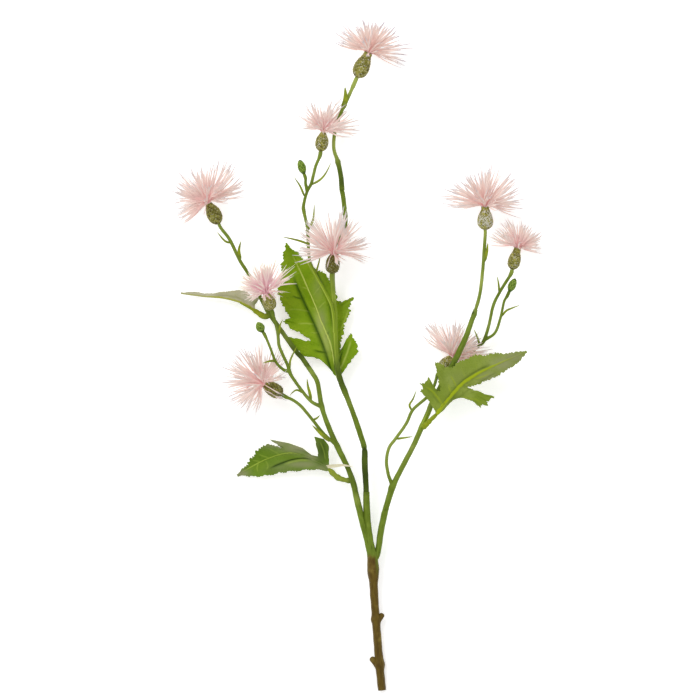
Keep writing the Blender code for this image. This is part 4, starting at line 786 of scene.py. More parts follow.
def context_sizes():
    """The scene's sizes."""
    return bpy.context.scene.knapweed_sizes


def place(point):
    """A point of the layout sheet as metres in the model's frame."""
    x, y, height = point
    return Vector(((x - SHEET_CENTRE[0]) * MM, (SHEET_CENTRE[1] - y) * MM, height * MM))


def sheet_of(place_in_metres):
    """Where a point of the model lies on the layout sheet, in plan."""
    return place_in_metres.x / MM + SHEET_CENTRE[0], SHEET_CENTRE[1] - place_in_metres.y / MM


def smooth_route(points, steps=10):
    """Close points along a smooth curve through the given ones."""
    first = points[0] * 2 - points[1]
    last = points[-1] * 2 - points[-2]
    padded = [first, *points, last]
    route = []
    for a, b, c, d in zip(padded, padded[1:], padded[2:], padded[3:]):
        for step in range(steps):
            t = step / steps
            bend = (a * 2 - b * 5 + c * 4 - d) * t * t
            twist = (b * 3 - a - c * 3 + d) * t * t * t
            route.append((b * 2 + (c - a) * t + bend + twist) / 2)
    route.append(points[-1])
    return route


def distances_along(route):
    """The distance of each point from the first, in metres."""
    total = 0.0
    found = [total]
    for a, b in zip(route, route[1:]):
        total += (b - a).length
        found.append(total)
    return found


def point_along(route, distances, wanted):
    """The point of the route at that distance, on past its end if need be."""
    if wanted <= 0.0:
        return route[0] + (route[0] - route[1]).normalized() * -wanted
    for a, b, start, end in zip(route, route[1:], distances, distances[1:]):
        if wanted <= end:
            return a.lerp(b, (wanted - start) / (end - start))
    return route[-1].copy()


def nearest_distance(route, distances, target):
    """The distance along the route of its point nearest to the target."""
    gaps = [(point - target).length for point in route]
    return distances[gaps.index(min(gaps))]


def length_between(route, start, end):
    """The stretch of a route between two distances."""
    distances = distances_along(route)
    middle = [p for p, d in zip(route, distances) if start + 1e-5 < d < end - 1e-5]
    return [point_along(route, distances, start), *middle, point_along(route, distances, end)]


def led_to(points, carried):
    """The route's points, carried on to the foot of a head or bud along that piece's own axis."""
    foot = Vector(carried.foot)
    axis = (Vector(carried.mouth) - foot).normalized()
    return [*points, tuple(foot - axis * APPROACH), tuple(foot)]


def limb_lengths(name):
    """The smooth course of a limb, as lengths that overlap a little at its joints."""
    points, head, joints = LIMBS[name]
    route = smooth_route([place(point) for point in led_to(points, HEADS[head])])
    distances = distances_along(route)
    stops = [nearest_distance(route, distances, place(joint)) for joint in joints]
    starts = [0.0, *stops]
    ends = [*[stop + JOINT_LAP * MM for stop in stops], distances[-1]]
    return [length_between(route, start, end) for start, end in zip(starts, ends)]


def with_end(radii, end_radii, total):
    """Radii along a length, with the last ones given by their distance back from its end."""
    return [*radii, *((total - back, radius) for back, radius in end_radii)]


def radius_along(radii, wanted):
    """The radius at a distance, both in millimetres, from pairs of them."""
    if wanted <= radii[0][0]:
        return radii[0][1]
    for (start, low), (end, high) in zip(radii, radii[1:]):
        if wanted <= end:
            return low + (high - low) * (wanted - start) / (end - start)
    return radii[-1][1]


def eased(low, high, value):
    """0 below low, 1 above high and a smooth step between."""
    share = min(1.0, max(0.0, (value - low) / (high - low)))
    return share * share * (3 - 2 * share)


def bell(distance, width):
    """1 at no distance, falling off smoothly over the width."""
    return math.exp(-(distance / width) ** 2)


def sweep(shape, route, sides, spacing, reach):
    """A closed tube along the route.

    A unit drum is cut into rings, and each ring is set square to the route. reach gives how far a corner
    stands out sideways and upwards, in millimetres, for its distance along in millimetres and its angle.
    Gives back the new corners with that distance and angle.
    """
    distances = distances_along(route)
    total = distances[-1]
    rings = max(3, round(total / spacing) + 1)
    before = len(shape.verts)
    drum = bmesh.ops.create_cone(
        shape, cap_ends=True, segments=sides, radius1=1.0, radius2=1.0, depth=1.0)
    upright = [
        edge for edge in {edge for corner in drum["verts"] for edge in corner.link_edges}
        if abs(edge.verts[0].co.z - edge.verts[1].co.z) > 0.5
    ]
    bmesh.ops.subdivide_edges(shape, edges=upright, cuts=rings - 2, use_grid_fill=True)
    shape.verts.ensure_lookup_table()
    corners = shape.verts[before:]
    crossings = []
    for ring in range(rings):
        distance = total * ring / (rings - 1)
        centre = point_along(route, distances, distance)
        behind = point_along(route, distances, max(distance - spacing, 0.0))
        beyond = point_along(route, distances, min(distance + spacing, total))
        ahead = (beyond - behind).normalized()
        side = ahead.cross(Vector((0, 0, 1))).normalized()
        crossings.append((centre, side, side.cross(ahead)))
    placed = []
    for corner in corners:
        ring = round((corner.co.z + 0.5) * (rings - 1))
        angle = math.atan2(corner.co.y, corner.co.x)
        distance = total * ring / (rings - 1) / MM
        sideways, upwards = reach(distance, angle)
        centre, side, lift = crossings[ring]
        corner.co = centre + side * sideways * MM + lift * upwards * MM
        placed.append((corner, distance, angle))
    return placed


def spot_sum(spots, x, y):
    """The sum of soft round spots at a place on the sheet."""
    total = 0.0
    for spot_x, spot_y, radius, amount in spots:
        gap = (x - spot_x) ** 2 + (y - spot_y) ** 2
        if gap < (radius * 2.5) ** 2:
            total += amount * math.exp(-gap / radius ** 2)
    return min(1.0, total)


def turn_outwards(shape):
    """Points every face of a closed shape outwards."""
    bmesh.ops.recalc_face_normals(shape, faces=shape.faces)


def mesh_of(shape, name):
    """The bmesh as a new mesh."""
    mesh = bpy.data.meshes.new(name)
    shape.to_mesh(mesh)
    shape.free()
    return mesh


def corner_places(mesh):
    """The places of the mesh's corners, one row for each."""
    places = np.empty(len(mesh.vertices) * 3, np.float32)
    mesh.vertices.foreach_get("co", places)
    return places.reshape(-1, 3)


def marked_shape(mesh, places, marks):
    """The mesh as a bmesh, its corners moved to the places and marked with numbers for its material."""
    mesh.vertices.foreach_set("co", places.astype(np.float32).ravel())
    for name, values in marks.items():
        layer = mesh.attributes.new(name, "FLOAT", "POINT")
        layer.data.foreach_set("value", np.asarray(values, np.float32))
    shape = bmesh.new()
    shape.from_mesh(mesh)
    bpy.data.meshes.remove(mesh)
    return shape


def finished(shape, name, materials, replaced, smooth=50):
    """The bmesh as a piece that rides on the spray and stands for its solids."""
    for corner in shape.verts:
        corner.co = Vector(min(max(v, low), high) for v, low, high in zip(corner.co, *CAD_BOX))
    mesh = mesh_of(shape, name)
    mesh.shade_smooth()
    mesh.set_sharp_from_angle(angle=math.radians(smooth))
    for material in materials:
        mesh.materials.append(material)
    piece = bpy.data.objects.new(name, mesh)
    bpy.context.scene.collection.objects.link(piece)
    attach(piece, BODY)
    if replaced:
        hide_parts(*replaced)
    return piece


def add_node(material, kind, inputs=None, links=None, output=0, **settings):
    """Adds a node with its settings, sockets' values and the outputs linked to it, and gives an output."""
    node = material.node_tree.nodes.new(kind)
    for name, value in settings.items():
        setattr(node, name, value)
    for socket, value in (inputs or {}).items():
        node.inputs[socket].default_value = value
    for socket, source in (links or {}).items():
        material.node_tree.links.new(source, node.inputs[socket])
    return node.outputs[output]


def colour_of(code):
    """A colour as four linear numbers, from its sRGB code or its name among the user's colours."""
    if code.startswith("#"):
        return linear(code)
    return tuple(getattr(bpy.context.scene.knapweed_colours, code))


def new_material(name, roughness, gloss=0.12, ior=1.5):
    """A material of that name with its shader set for a moulded plastic with a matt painted face."""
    material = bpy.data.materials.new(name)
    material.use_nodes = True
    shader = material.node_tree.nodes["Principled BSDF"]
    shader.inputs["Roughness"].default_value = roughness
    shader.inputs["Metallic"].default_value = 0.0
    shader.inputs["IOR"].default_value = ior
    shader.inputs["Specular IOR Level"].default_value = gloss
    return material, shader


def coated(material, colour, coats):
    """Lays coats of colour over the first one, and gives the output of the last.

    A coat has an output, or the name of a mark on the mesh, that says where it lies, then its colour, and
    if need be the two values between which it sets in and the two shares that it goes from and to. A colour
    is an sRGB code, the name of one of the user's colours, or an output.
    """
    for where, coat, *limits in coats:
        if isinstance(where, str):
            where = add_node(material, "ShaderNodeAttribute", output="Fac", attribute_name=where)
        if limits:
            values = dict(enumerate(limits if len(limits) == 4 else (*limits, 0.0, 1.0), 1))
            where = add_node(
                material, "ShaderNodeMapRange", values, {0: where}, interpolation_type="SMOOTHSTEP")
        sides = {6: colour, 7: coat}
        values = {socket: colour_of(side) for socket, side in sides.items() if isinstance(side, str)}
        links = {socket: side for socket, side in sides.items() if socket not in values}
        colour = add_node(
            material, "ShaderNodeMix", values, {0: where, **links}, "Result", data_type="RGBA")
    return colour


def faced(material, shader, colour, height, depth, strength):
    """Gives the shader its colour, and a relief that follows the height to a depth in millimetres."""
    relief = add_node(
        material, "ShaderNodeBump", {"Strength": strength, "Distance": depth * MM}, {"Height": height})
    material.node_tree.links.new(relief, shader.inputs["Normal"])
    material.node_tree.links.new(colour, shader.inputs["Base Color"])


def stem_material():
    """Moulded polyethylene with a painted finish: soft streaks along it, brown below and green above.

    The moulding leaves a faint grain along the stem, and it is darker in places, partly as painted shade,
    so the eye reads fine lengthwise streaks over slow changes of tone, about 11 mm and 1 mm across. A pale
    line along one side of the stems that lie over the leaves is a painted highlight.
    """
    material, shader = new_material("moulded_polyethylene_stem", 0.5)
    place_on = add_node(material, "ShaderNodeTexCoord", output="Object")
    strand = add_node(material, "ShaderNodeAttribute", output="Vector", attribute_name="strand")
    fresh = add_node(material, "ShaderNodeAttribute", output="Fac", attribute_name="fresh")
    streaks, slow, grain = (
        add_node(
            material, "ShaderNodeTexNoise", {"Scale": 1 / size, "Detail": detail, "Roughness": roughness},
            {"Vector": source})
        for source, size, detail, roughness in (
            (strand, 0.454545, 5.0, 0.6), (place_on, 11.1111 * MM, 3.0, 0.5),
            (place_on, 1.11111 * MM, 2.0, 0.5))
    )
    # A painted highlight: a pale line along one side of the stems that lie over the leaves, where the fresh
    # mark is.
    side = add_node(material, "ShaderNodeSeparateXYZ", links={"Vector": strand})
    painted_highlight = fresh
    for low, high, start in ((-0.75, -0.45, 0.0), (-0.4, -0.1, 1.0)):
        edge = add_node(
            material, "ShaderNodeMapRange", {1: low, 2: high, 3: start, 4: 1.0 - start}, {0: side},
            interpolation_type="SMOOTHSTEP")
        painted_highlight = add_node(material, "ShaderNodeMath", links={0: edge, 1: painted_highlight}, operation="MULTIPLY")
    yellow = coated(material, "#8F9A1C", [(grain, "#6C7A16", 0.45, 0.7)])
    # The tone coat darkens the stems at the spots on the sheet, partly as painted shade.
    green = coated(material, "stem", [
        (slow, "#71862B", 0.35, 0.68), (streaks, "#4F6216", 0.5, 0.75), (streaks, "#86973C", 0.42, 0.2),
        ("pale", "#A6B259"), (fresh, "#7F961C"), (painted_highlight, "#A9BC4C"), ("yellow", yellow), ("tone", "#2F3F09"),
    ])
    brown = coated(material, "bark", [
        (streaks, "#523F14", 0.35, 0.65), (slow, "#7E6C30", 0.5, 0.75), (grain, "#3A2C10", 0.62, 0.8),
    ])
    height = add_node(
        material, "ShaderNodeMath", {1: 0.35}, {0: grain, 2: streaks}, operation="MULTIPLY_ADD")
    faced(material, shader, coated(material, green, [("bark", brown)]), height, 0.3, 0.5)
    rough = add_node(
        material, "ShaderNodeMapRange", {1: 0.3, 2: 0.7, 3: 0.42, 4: 0.6}, {0: slow},
        interpolation_type="SMOOTHSTEP")
    material.node_tree.links.new(rough, shader.inputs["Roughness"])
    return material


def bract_material():
    """Thin bright green polyethylene: the straps let light through, so they look brighter than stems."""
    material, shader = new_material("thin_polyethylene_bract", 0.45)
    place_on = add_node(material, "ShaderNodeTexCoord", output="Object")
    strand = add_node(material, "ShaderNodeAttribute", output="Vector", attribute_name="strand")
    slow, streaks = (
        add_node(
            material, "ShaderNodeTexNoise", {"Scale": 1 / size, "Detail": 3.0},
            {"Vector": source})
        for source, size in ((place_on, 6.25 * MM), (strand, 0.333333))
    )
    green = coated(material, "#8D9A26", [
        (slow, "#768326", 0.35, 0.7), (streaks, "#A3A63E", 0.55, 0.8), ("tone", "#56691E"),
    ])
    faced(material, shader, green, streaks, 0.1, 0.5)
    return material


def leaf_material(name, side):
    """Embossed polyethylene sheet, pressed between veined plates.

    The pressing gives a fine net of veins, 2.4 mm apart, between the side veins and a thin pale midrib that
    wavers a little. Green faces have a soft gloss, and the grey one has a matt bloom.
    """
    base, fresh, deep, vein_colour, painted_shade_colour = LEAF_LOOKS[side]
    if side in ("bright", "grey"):
        base = "leaf" if side == "bright" else "leaf_back"
    material, shader = new_material(name, 0.6 if side == "grey" else 0.45, 0.1)
    place_on = add_node(material, "ShaderNodeTexCoord", output="Object")
    slow, fine, waver = (
        add_node(
            material, "ShaderNodeTexNoise", {"Scale": 1 / size / MM, "Detail": detail},
            {"Vector": place_on})
        for size, detail in ((14.2857, 3.0), (1.42857, 3.0), (3.84615, 2.0))
    )
    net = add_node(
        material, "ShaderNodeTexVoronoi", {"Scale": 1 / 2.38095 / MM, "Randomness": 0.9},
        {"Vector": place_on}, feature="DISTANCE_TO_EDGE")
    net_lines = add_node(
        material, "ShaderNodeMapRange", {1: 0.0, 2: 0.14, 3: 1.0, 4: 0.0}, {0: net},
        interpolation_type="SMOOTHSTEP")
    faint = add_node(material, "ShaderNodeMath", {1: 0.22}, {0: net_lines}, operation="MULTIPLY")
    rib, rib_tone = (
        add_node(material, "ShaderNodeAttribute", output="Fac", attribute_name=mark)
        for mark in ("rib", "rib_tone")
    )
    on_rib = waver
    for operation, values, links in (
            ("MULTIPLY_ADD", {1: 1.6}, {2: rib}), ("SUBTRACT", {1: 0.8}, {}), ("ABSOLUTE", {}, {})):
        on_rib = add_node(material, "ShaderNodeMath", values, {0: on_rib, **links}, operation=operation)
    on_rib = add_node(
        material, "ShaderNodeMapRange", {1: 0.75, 2: 1.25, 3: 1.0, 4: 0.0}, {0: on_rib},
        interpolation_type="SMOOTHSTEP")
    on_rib = add_node(material, "ShaderNodeMath", links={0: on_rib, 1: rib_tone}, operation="MULTIPLY")
    # The grey coat is partly the leaf's own grey and partly a painted sheen, the dark coat is painted shade
    # in the creases and dark patches, and the pale veins include painted highlights on some ridges.
    colour = coated(material, base, [
        (slow, fresh, 0.35, 0.7), (fine, deep, 0.55, 0.8), (faint, deep if side == "grey" else fresh),
        ("grey", "#8E9068"), ("green", "#6F8818"), ("dark", painted_shade_colour), ("vein", vein_colour),
        (on_rib, vein_colour),
    ])
    height = add_node(
        material, "ShaderNodeMath", {1: 0.5}, {0: fine, 2: net_lines}, operation="MULTIPLY_ADD")
    faced(material, shader, colour, height, 0.12, 0.6)
    return material


def cup_material():
    """Moulded polyethylene scales, dry-brushed with a pale frosting that catches in flecks of 1.3 mm."""
    material, shader = new_material("frosted_polyethylene_scales", 0.6)
    place_on = add_node(material, "ShaderNodeTexCoord", output="Object")
    slow, flecks = (
        add_node(
            material, "ShaderNodeTexNoise", {"Scale": 1 / size / MM, "Detail": 3.0},
            {"Vector": place_on})
        for size in (3.84615, 1.28205)
    )
    frost = add_node(material, "ShaderNodeAttribute", output="Fac", attribute_name="frost")
    frosted = add_node(
        material, "ShaderNodeMath", {1: 0.2}, {0: frost, 2: flecks}, operation="MULTIPLY_ADD")
    # The root coat is painted shade where each scale tucks under the row above, and the edge coat is the
    # scales' pale rims, partly a painted highlight.
    colour = coated(material, "cup", [
        (slow, "#6C6C22", 0.35, 0.65), ("shade", "#ADA84E", 0.5, 1.0, 0.0, 0.85),
        ("shade", "#4F4A17", 0.5, 0.0, 0.0, 0.85), ("root", "#45431A"), ("edge", "#A39D5A"),
        (flecks, "#4F4A17", 0.46, 0.36, 0.0, 0.6), (frosted, "#C8C5B4", 0.6, 0.72),
    ])
    faced(material, shader, colour, flecks, 0.1, 0.5)
    return material


def bud_material():
    """Moulded polyethylene bud scales: mid green, darker at their roots and paler along their rims."""
    material, shader = new_material("moulded_polyethylene_bud", 0.5)
    place_on = add_node(material, "ShaderNodeTexCoord", output="Object")
    slow = add_node(
        material, "ShaderNodeTexNoise", {"Scale": 1 / 2.5 / MM, "Detail": 3.0}, {"Vector": place_on})
    # The root coat is painted shade where each scale tucks under the row above, and the edge coat is the
    # pale rims, partly a painted highlight.
    colour = coated(material, "bud", [
        (slow, "#617C26", 0.35, 0.65), ("root", "#2F4A10", 0.0, 0.5, 0.0, 0.75),
        ("edge", "#8FA748", 0.0, 0.5),
    ])
    faced(material, shader, colour, slow, 0.1, 0.4)
    return material


def floret_material():
    """Soft extruded polyethylene fibres: coral where they crowd together, pale and half clear at the tips.

    A faint glow stands for the light that soaks through the bundle, so its heart isn't dark.
    """
    material, shader = new_material("soft_polyethylene_floret", 0.5)
    salmon, throat, shaded, pale, ends = (
        coated(material, plain, [("rose", rosy)]) for plain, rosy in (
            ("floret", "#EAC2CC"), ("throat", "#DC88A4"),
            ("#DDB1A8", "#DDA9B6"), ("#E4D6CD", "#EADFD2"), ("#ABABB6", "#E2DAC8"))
    )
    # The rim coat is painted shade along the edges of each lobe, where it curves away from the light.
    colour = coated(material, throat, [
        ("along", salmon, 0.08, 0.3), ("tone", shaded, 0.5, 1.0, 0.0, 0.5),
        ("tone", "#F6E8E1", 0.5, 0.0, 0.0, 0.55), ("rim", "#B5938E", 0.5, 1.0, 0.0, 0.6),
        ("along", pale, 0.35, 0.8, 0.0, 0.7), ("along", ends, 0.68, 0.98),
    ])
    material.node_tree.links.new(colour, shader.inputs["Base Color"])
    for socket, value in (
            ("Emission Color", linear("#F0D2CB")), ("Emission Strength", FLORET_GLOW),
            ("Subsurface Weight", 0.3), ("Subsurface Radius", (1.0, 0.9, 0.85)),
            ("Subsurface Scale", 0.8 * MM)):
        shader.inputs[socket].default_value = value
    return material


def stem_section(radii, knots, seed):
    """The cross-section of a stem: soft ribs that wind slowly, a slight wobble, and swellings at knots."""
    phase = random.Random(seed).uniform(0, math.tau)
    depth = context_sizes().rib_depth

    def reach(distance, angle):
        radius = radius_along(radii, distance)
        for where, height, width in knots:
            radius += height * bell(distance - where, width)
        ribs = depth * math.cos(STEM_RIBS * angle + phase + distance * RIB_TWIST)
        wobble = sum(
            height * math.sin(distance * rate + angle * turns + phase)
            for height, rate, turns in STEM_WOBBLES)
        radius *= 1 + ribs + wobble
        return radius * math.cos(angle), radius * math.sin(angle)

    return reach


def bract_section(total, width):
    """The cross-section of a bract: a thin channelled strap that narrows to a point."""

    def reach(distance, angle):
        share = distance / total
        half = width * 0.65 * min(1.0, 0.6 + share * 2.5) * max(math.cos(share * math.pi / 2), 0.0) ** 0.65
        half = max(half, 0.06)
        thick = min(0.34, half * 0.8) * (1 - 0.45 * share)
        across = math.cos(angle)
        return half * across, thick * math.sin(angle) + BRACT_CHANNEL * half * (across * across - 0.5)

    return reach


def layers_of(shape):
    """The layers of a stem's mesh: its strand coordinates, and how far each of its other tones shows."""
    strand = shape.verts.layers.float_vector.get("strand") or shape.verts.layers.float_vector.new("strand")
    numbers = [
        shape.verts.layers.float.get(name) or shape.verts.layers.float.new(name)
        for name in ("tone", "pale", "fresh", "yellow", "bark")
    ]
    return strand, *numbers


def mark_stem(layers, placed, seed, darkness=0.0, yellowness=0.0):
    """Writes a stem's strand coordinates, and its tones from the spots on the sheet."""
    strand, tone, pale, fresh, yellow, bark = layers
    for corner, distance, angle in placed:
        corner[strand] = (math.cos(angle), math.sin(angle) + seed, distance * STRAND_STEP)
        x, y = sheet_of(corner.co)
        corner[tone] = min(1.0, spot_sum(STEM_TONES, x, y) + darkness)
        corner[pale] = spot_sum(STEM_PALES, x, y)
        corner[fresh] = spot_sum(STEM_FRESH, x, y)
        corner[yellow] = spot_sum(STEM_YELLOWS, x, y) * yellowness
        ragged = math.sin(angle * 3 + seed) * 0.9 + math.sin(angle * 7) * 0.5
        right_of_fork = eased(374.5, 377.5, x)
        edge = BARK_END + (BARK_END_RIGHT - BARK_END) * right_of_fork
        fade = BARK_FADE + (BARK_FADE_RIGHT - BARK_FADE) * right_of_fork
        corner[bark] = eased(edge - fade, edge + fade, y + ragged)


def add_stem(shape, route, radii, seed, knots=(), darkness=0.0, yellowness=0.0):
    """Adds a stem along a route of places in metres."""
    sizes = context_sizes()
    distances = distances_along(route)
    swellings = [
        (nearest_distance(route, distances, place(point)) / MM, height, width)
        for point, height, width in knots
    ]
    section = stem_section(radii, swellings, seed)
    layers = layers_of(shape)
    placed = sweep(shape, route, sizes.stem_sides, sizes.stem_spacing, section)
    mark_stem(layers, placed, seed, darkness, yellowness)


def add_shoot(shape, points, carried, seed, knots=()):
    """Adds a side shoot, flared where it leaves its stem, up to the head or bud that it carries."""
    route = smooth_route([place(point) for point in led_to(points, carried)])
    total = distances_along(route)[-1] / MM
    radii = with_end(SHOOT_RADII, SHOOT_END_RADII, total)
    if isinstance(carried, Bud):
        radii = [(distance, radius * BUD_STALK_SHARE) for distance, radius in radii]
    add_stem(shape, route, radii, seed, knots)


def add_bracts(shape, bracts, slot_index=BRACT_MATERIAL):
    """Adds bracts, which wear a material of their own."""
    strand, tone, *_ = layers_of(shape)
    before = len(shape.faces)
    for points, width in bracts:
        route = smooth_route([place(point) for point in points])
        total = distances_along(route)[-1]
        placed = sweep(shape, route, BRACT_SIDES, total / BRACT_RINGS, bract_section(total / MM, width))
        for corner, distance, angle in placed:
            corner[strand] = (math.cos(angle), math.sin(angle), distance * STRAND_STEP)
            corner[tone] = bell(distance, 5.0) * 0.6
    shape.faces.ensure_lookup_table()
    for face in shape.faces[before:]:
        face.material_index = slot_index


def add_stub(shape, root, tip, radius, seed):
    """Adds a pruned stub, thicker at its root, that narrows to its cut end."""
    route = [place(root), place(tip)]
    length = (route[1] - route[0]).length / MM
    radii = [
        (0, radius + 0.7), (length * 0.4, radius + 0.1), (length - 2.4, radius),
        (length - 1.2, radius * 0.96), (length - 0.5, radius * 0.8), (length, radius * 0.5),
    ]
    add_stem(shape, route, radii, seed)


def finished_stem(shape, name, materials, nodes):
    """Closes a stem's mesh as a piece with its stem and bract materials."""
    turn_outwards(shape)
    return finished(shape, name, materials, nodes)


def shared(name, make):
    """The named material, made the first time that it is asked for."""
    return bpy.data.materials.get(name) or make()


class KnapweedMainStem(bpy.types.Operator):
    """Builds the brown lower stem with its pruned stubs and the feet of its two arms"""

    bl_idname = "knapweed.main_stem"
    bl_label = "Main stem"

    def execute(self, context):
        shape = bmesh.new()
        for seed, (limb, radii, knots) in enumerate(TRUNK_PARTS, 1):
            add_stem(shape, limb_lengths(limb)[0], radii, seed, knots)
        for seed, (root, tip, radius) in enumerate(STUBS, FIRST_STUB_SEED):
            add_stub(shape, root, tip, radius, seed)
        materials = [shared("moulded_polyethylene_stem", stem_material)]
        finished_stem(shape, "main_stem_bark", materials, ["main_stem"])
        return {"FINISHED"}


class KnapweedBranches(bpy.types.Operator):
    """Builds the green branches in their jointed lengths, with the side shoots and bracts"""

    bl_idname = "knapweed.branches"
    bl_label = "Branches"

    def execute(self, context):
        materials = [
            shared("moulded_polyethylene_stem", stem_material),
            shared("thin_polyethylene_bract", bract_material),
        ]
        for seed, (node, branch) in enumerate(BRANCHES.items(), FIRST_BRANCH_SEED):
            route = limb_lengths(branch.limb)[branch.part]
            radii = with_end(branch.radii, branch.end_radii, distances_along(route)[-1] / MM)
            shape = bmesh.new()
            add_stem(shape, route, radii, seed, branch.knots, branch.darkness)
            if node == "branch_centre_middle":
                add_stem(shape, limb_lengths("top")[0], TOP_FOOT_RADII, TOP_FOOT_SEED, TOP_FOOT_KNOTS)
            for points, carried, shoot_seed, *knots in branch.shoots:
                add_shoot(shape, points, carried, shoot_seed, knots)
            add_bracts(shape, branch.bracts)
            finished_stem(shape, node + "_skin", materials, [node])
        return {"FINISHED"}


def way_out(middle, inner, outer, share):
    """The place in plan at a share of the way from the midrib, by the inner point, to the edge."""
    start, end, part_way = (middle, inner, share * 2) if share <= 0.5 else (inner, outer, share * 2 - 1)
    return [a + (b - a) * part_way for a, b in zip(start, end)]


def full_edge(middle, edge):
    """An edge of a leaf row in full: its inner point, its outer point and its own height."""
    turning = isinstance(edge[0], tuple)
    inner, outer = edge if turning else ([(m + e) / 2 for m, e in zip(middle, edge)], edge)
    own = outer[2] if len(outer) > 2 else 0.0
    return (*inner[:2], *outer[:2], own)


def fine_rows(plan):
    """The leaf's rows drawn finer: the midrib smooth, the edges straight from point to point."""
    steps = 20
    middles = smooth_route([Vector(row[0]) for row in plan.rows], steps)
    coarse = [
        (full_edge(row[0], row[1]), full_edge(row[0], row[2])) for row in plan.rows
    ]
    rows = []
    for low, (start, end) in enumerate(zip(coarse, coarse[1:])):
        reaches = [math.hypot(b[2] - a[2], b[3] - a[3]) for a, b in zip(start, end)]
        reaches.append((middles[(low + 1) * steps] - middles[low * steps]).length)
        count = max(2, round(max(reaches) / context_sizes().leaf_spacing * MM))
        for part in range(count):
            share = part / count
            place_on = share * steps
            whole = int(place_on)
            middle = middles[low * steps + whole].lerp(middles[low * steps + whole + 1], place_on - whole)
            edges = [tuple(a + (b - a) * share for a, b in zip(*pair)) for pair in zip(start, end)]
            rows.append((middle, *edges))
    rows.append((middles[-1], *coarse[-1]))
    return rows


def toothed(rows, hand, depth, spacing, smooth, rng):
    """How far each row's edge moves out in plan: uneven teeth that lean towards the tip."""
    points = [(row[hand][2], row[hand][3]) for row in rows]
    sizes = [rng.uniform(0.6, 1.2) for _ in range(TEETH_DRAWN)]
    phase = rng.uniform(0, math.tau)
    whole = sum(math.hypot(b[0] - a[0], b[1] - a[1]) for a, b in zip(points, points[1:]))
    run = 0.0
    found = []
    for index, point in enumerate(points):
        before = points[max(index - 1, 0)]
        after = points[min(index + 1, len(points) - 1)]
        run += math.hypot(point[0] - before[0], point[1] - before[1])
        turns = run / spacing + 0.3 * math.sin(run * 0.5 + phase)
        tooth = math.floor(turns)
        part = turns - tooth
        size = sizes[max(tooth, 0)]
        rises = part < TOOTH_TURN
        point_of_tooth = (part / TOOTH_TURN) ** 1.3 if rises else (1 - part) / (1 - TOOTH_TURN)
        reach = depth * size * (point_of_tooth - 0.35) * eased(smooth, smooth + 0.06, run / whole)
        ahead = (after[0] - before[0], after[1] - before[1])
        length = max(math.hypot(*ahead), 1e-6)
        side = 1.0 if hand == 1 else -1.0
        found.append((-ahead[1] / length * side * reach, ahead[0] / length * side * reach))
    return found


def line_places(places, points):
    """For each place in plan, its distance from a smooth line, its side and how far the line's end is."""
    route = smooth_route([Vector((x, y, 0)) for x, y in points], 6)
    best = np.full(len(places), 1e9)
    side = np.zeros(len(places))
    run = np.zeros(len(places))
    total = 0.0
    for start, end in zip(route, route[1:]):
        a = np.array(start[:2])
        along = np.array(end[:2]) - a
        length = math.hypot(*along)
        share = np.clip(((places - a) @ along) / length ** 2, 0, 1)
        gap = places - (a + share[:, None] * along)
        distance = np.hypot(gap[:, 0], gap[:, 1])
        nearer = distance < best
        best = np.where(nearer, distance, best)
        side = np.where(nearer, along[0] * gap[:, 1] - along[1] * gap[:, 0], side)
        run = np.where(nearer, total + share * length, run)
        total += length
    return best, side, np.minimum(run, total - run)


def leaf_places(name, columns):
    """Every corner of a leaf's lattice on the sheet, row by row, and its midrib's marks there."""
    plan = LEAVES[name]
    _, _, *depths, spacing, left_smooth, right_smooth = LEAF_SIDES[name]
    rows = fine_rows(plan)
    rng = random.Random(name)
    teeth = [
        toothed(rows, hand, depths[hand - 1], spacing, smooth, rng)
        for hand, smooth in ((1, left_smooth), (2, right_smooth))
    ]
    middles = [row[0] for row in rows]
    lengths = distances_along(middles)
    widths, rises, tones = LEAF_RIBS[name]
    corners = []
    ribs = []
    for index, (middle, left, right) in enumerate(rows):
        along = lengths[index] / lengths[-1]
        half = np.interp(along, *zip(*widths))
        rib_rise = np.interp(along, *zip(*rises))
        rib_tone = np.interp(along, *zip(*tones))
        fullness = math.sin(math.pi * min(max(along, 0.02), 0.98)) ** 0.7
        for column in range(-columns, columns + 1):
            share = abs(column / columns) ** 1.25
            edge, bend, wave, hand = (
                (left, plan.left_bend, plan.left_wave, 0) if column < 0
                else (right, plan.right_bend, plan.right_wave, 1))
            inner_x, inner_y, outer_x, outer_y, own = edge
            width = math.hypot(outer_x - middle.x, outer_y - middle.y)
            tooth_x, tooth_y = (part * min(1.0, width / 8) for part in teeth[hand][index])
            outer = (outer_x + tooth_x, outer_y + tooth_y)
            x, y = way_out(middle, (inner_x, inner_y), outer, share)
            across = share if column >= 0 else -share
            ripple = wave * share * math.sin(along * 26 + across * 2)
            height = middle.z + (bend * fullness + own) * share ** 1.3 + ripple * fullness
            rim = RIM_CURL * math.sin(index * 0.35) * share ** 6
            off = math.hypot(x - middle.x, y - middle.y) / half
            corners.append((x, y, height + rim + rib_rise * bell(off, 1.5)))
            ribs.append((off if column >= 0 else -off, rib_tone))
    return np.array(corners), np.array(ribs), len(rows)


def line_marks(name, places):
    """How far a leaf's lines raise each place, and how pale and how dark they make it."""
    rise, vein, dark = np.zeros((3, len(places)))
    for points, width, height, tone, fade, *left in LEAF_LINES[name]:
        distance, side, from_end = line_places(places[:, :2], points)
        width = np.where(side < 0, left[0] if left else width, width)
        near = np.exp(-(distance / width) ** 2) * np.clip(from_end / fade, 0, 1)
        rise += height * near
        # A pale line is a vein, on some ridges partly a painted highlight; a dark line is painted shade in
        # a crease.
        if tone > 0:
            vein = np.maximum(vein, tone * near)
        else:
            dark = np.maximum(dark, -tone * near)
    return rise, vein, dark


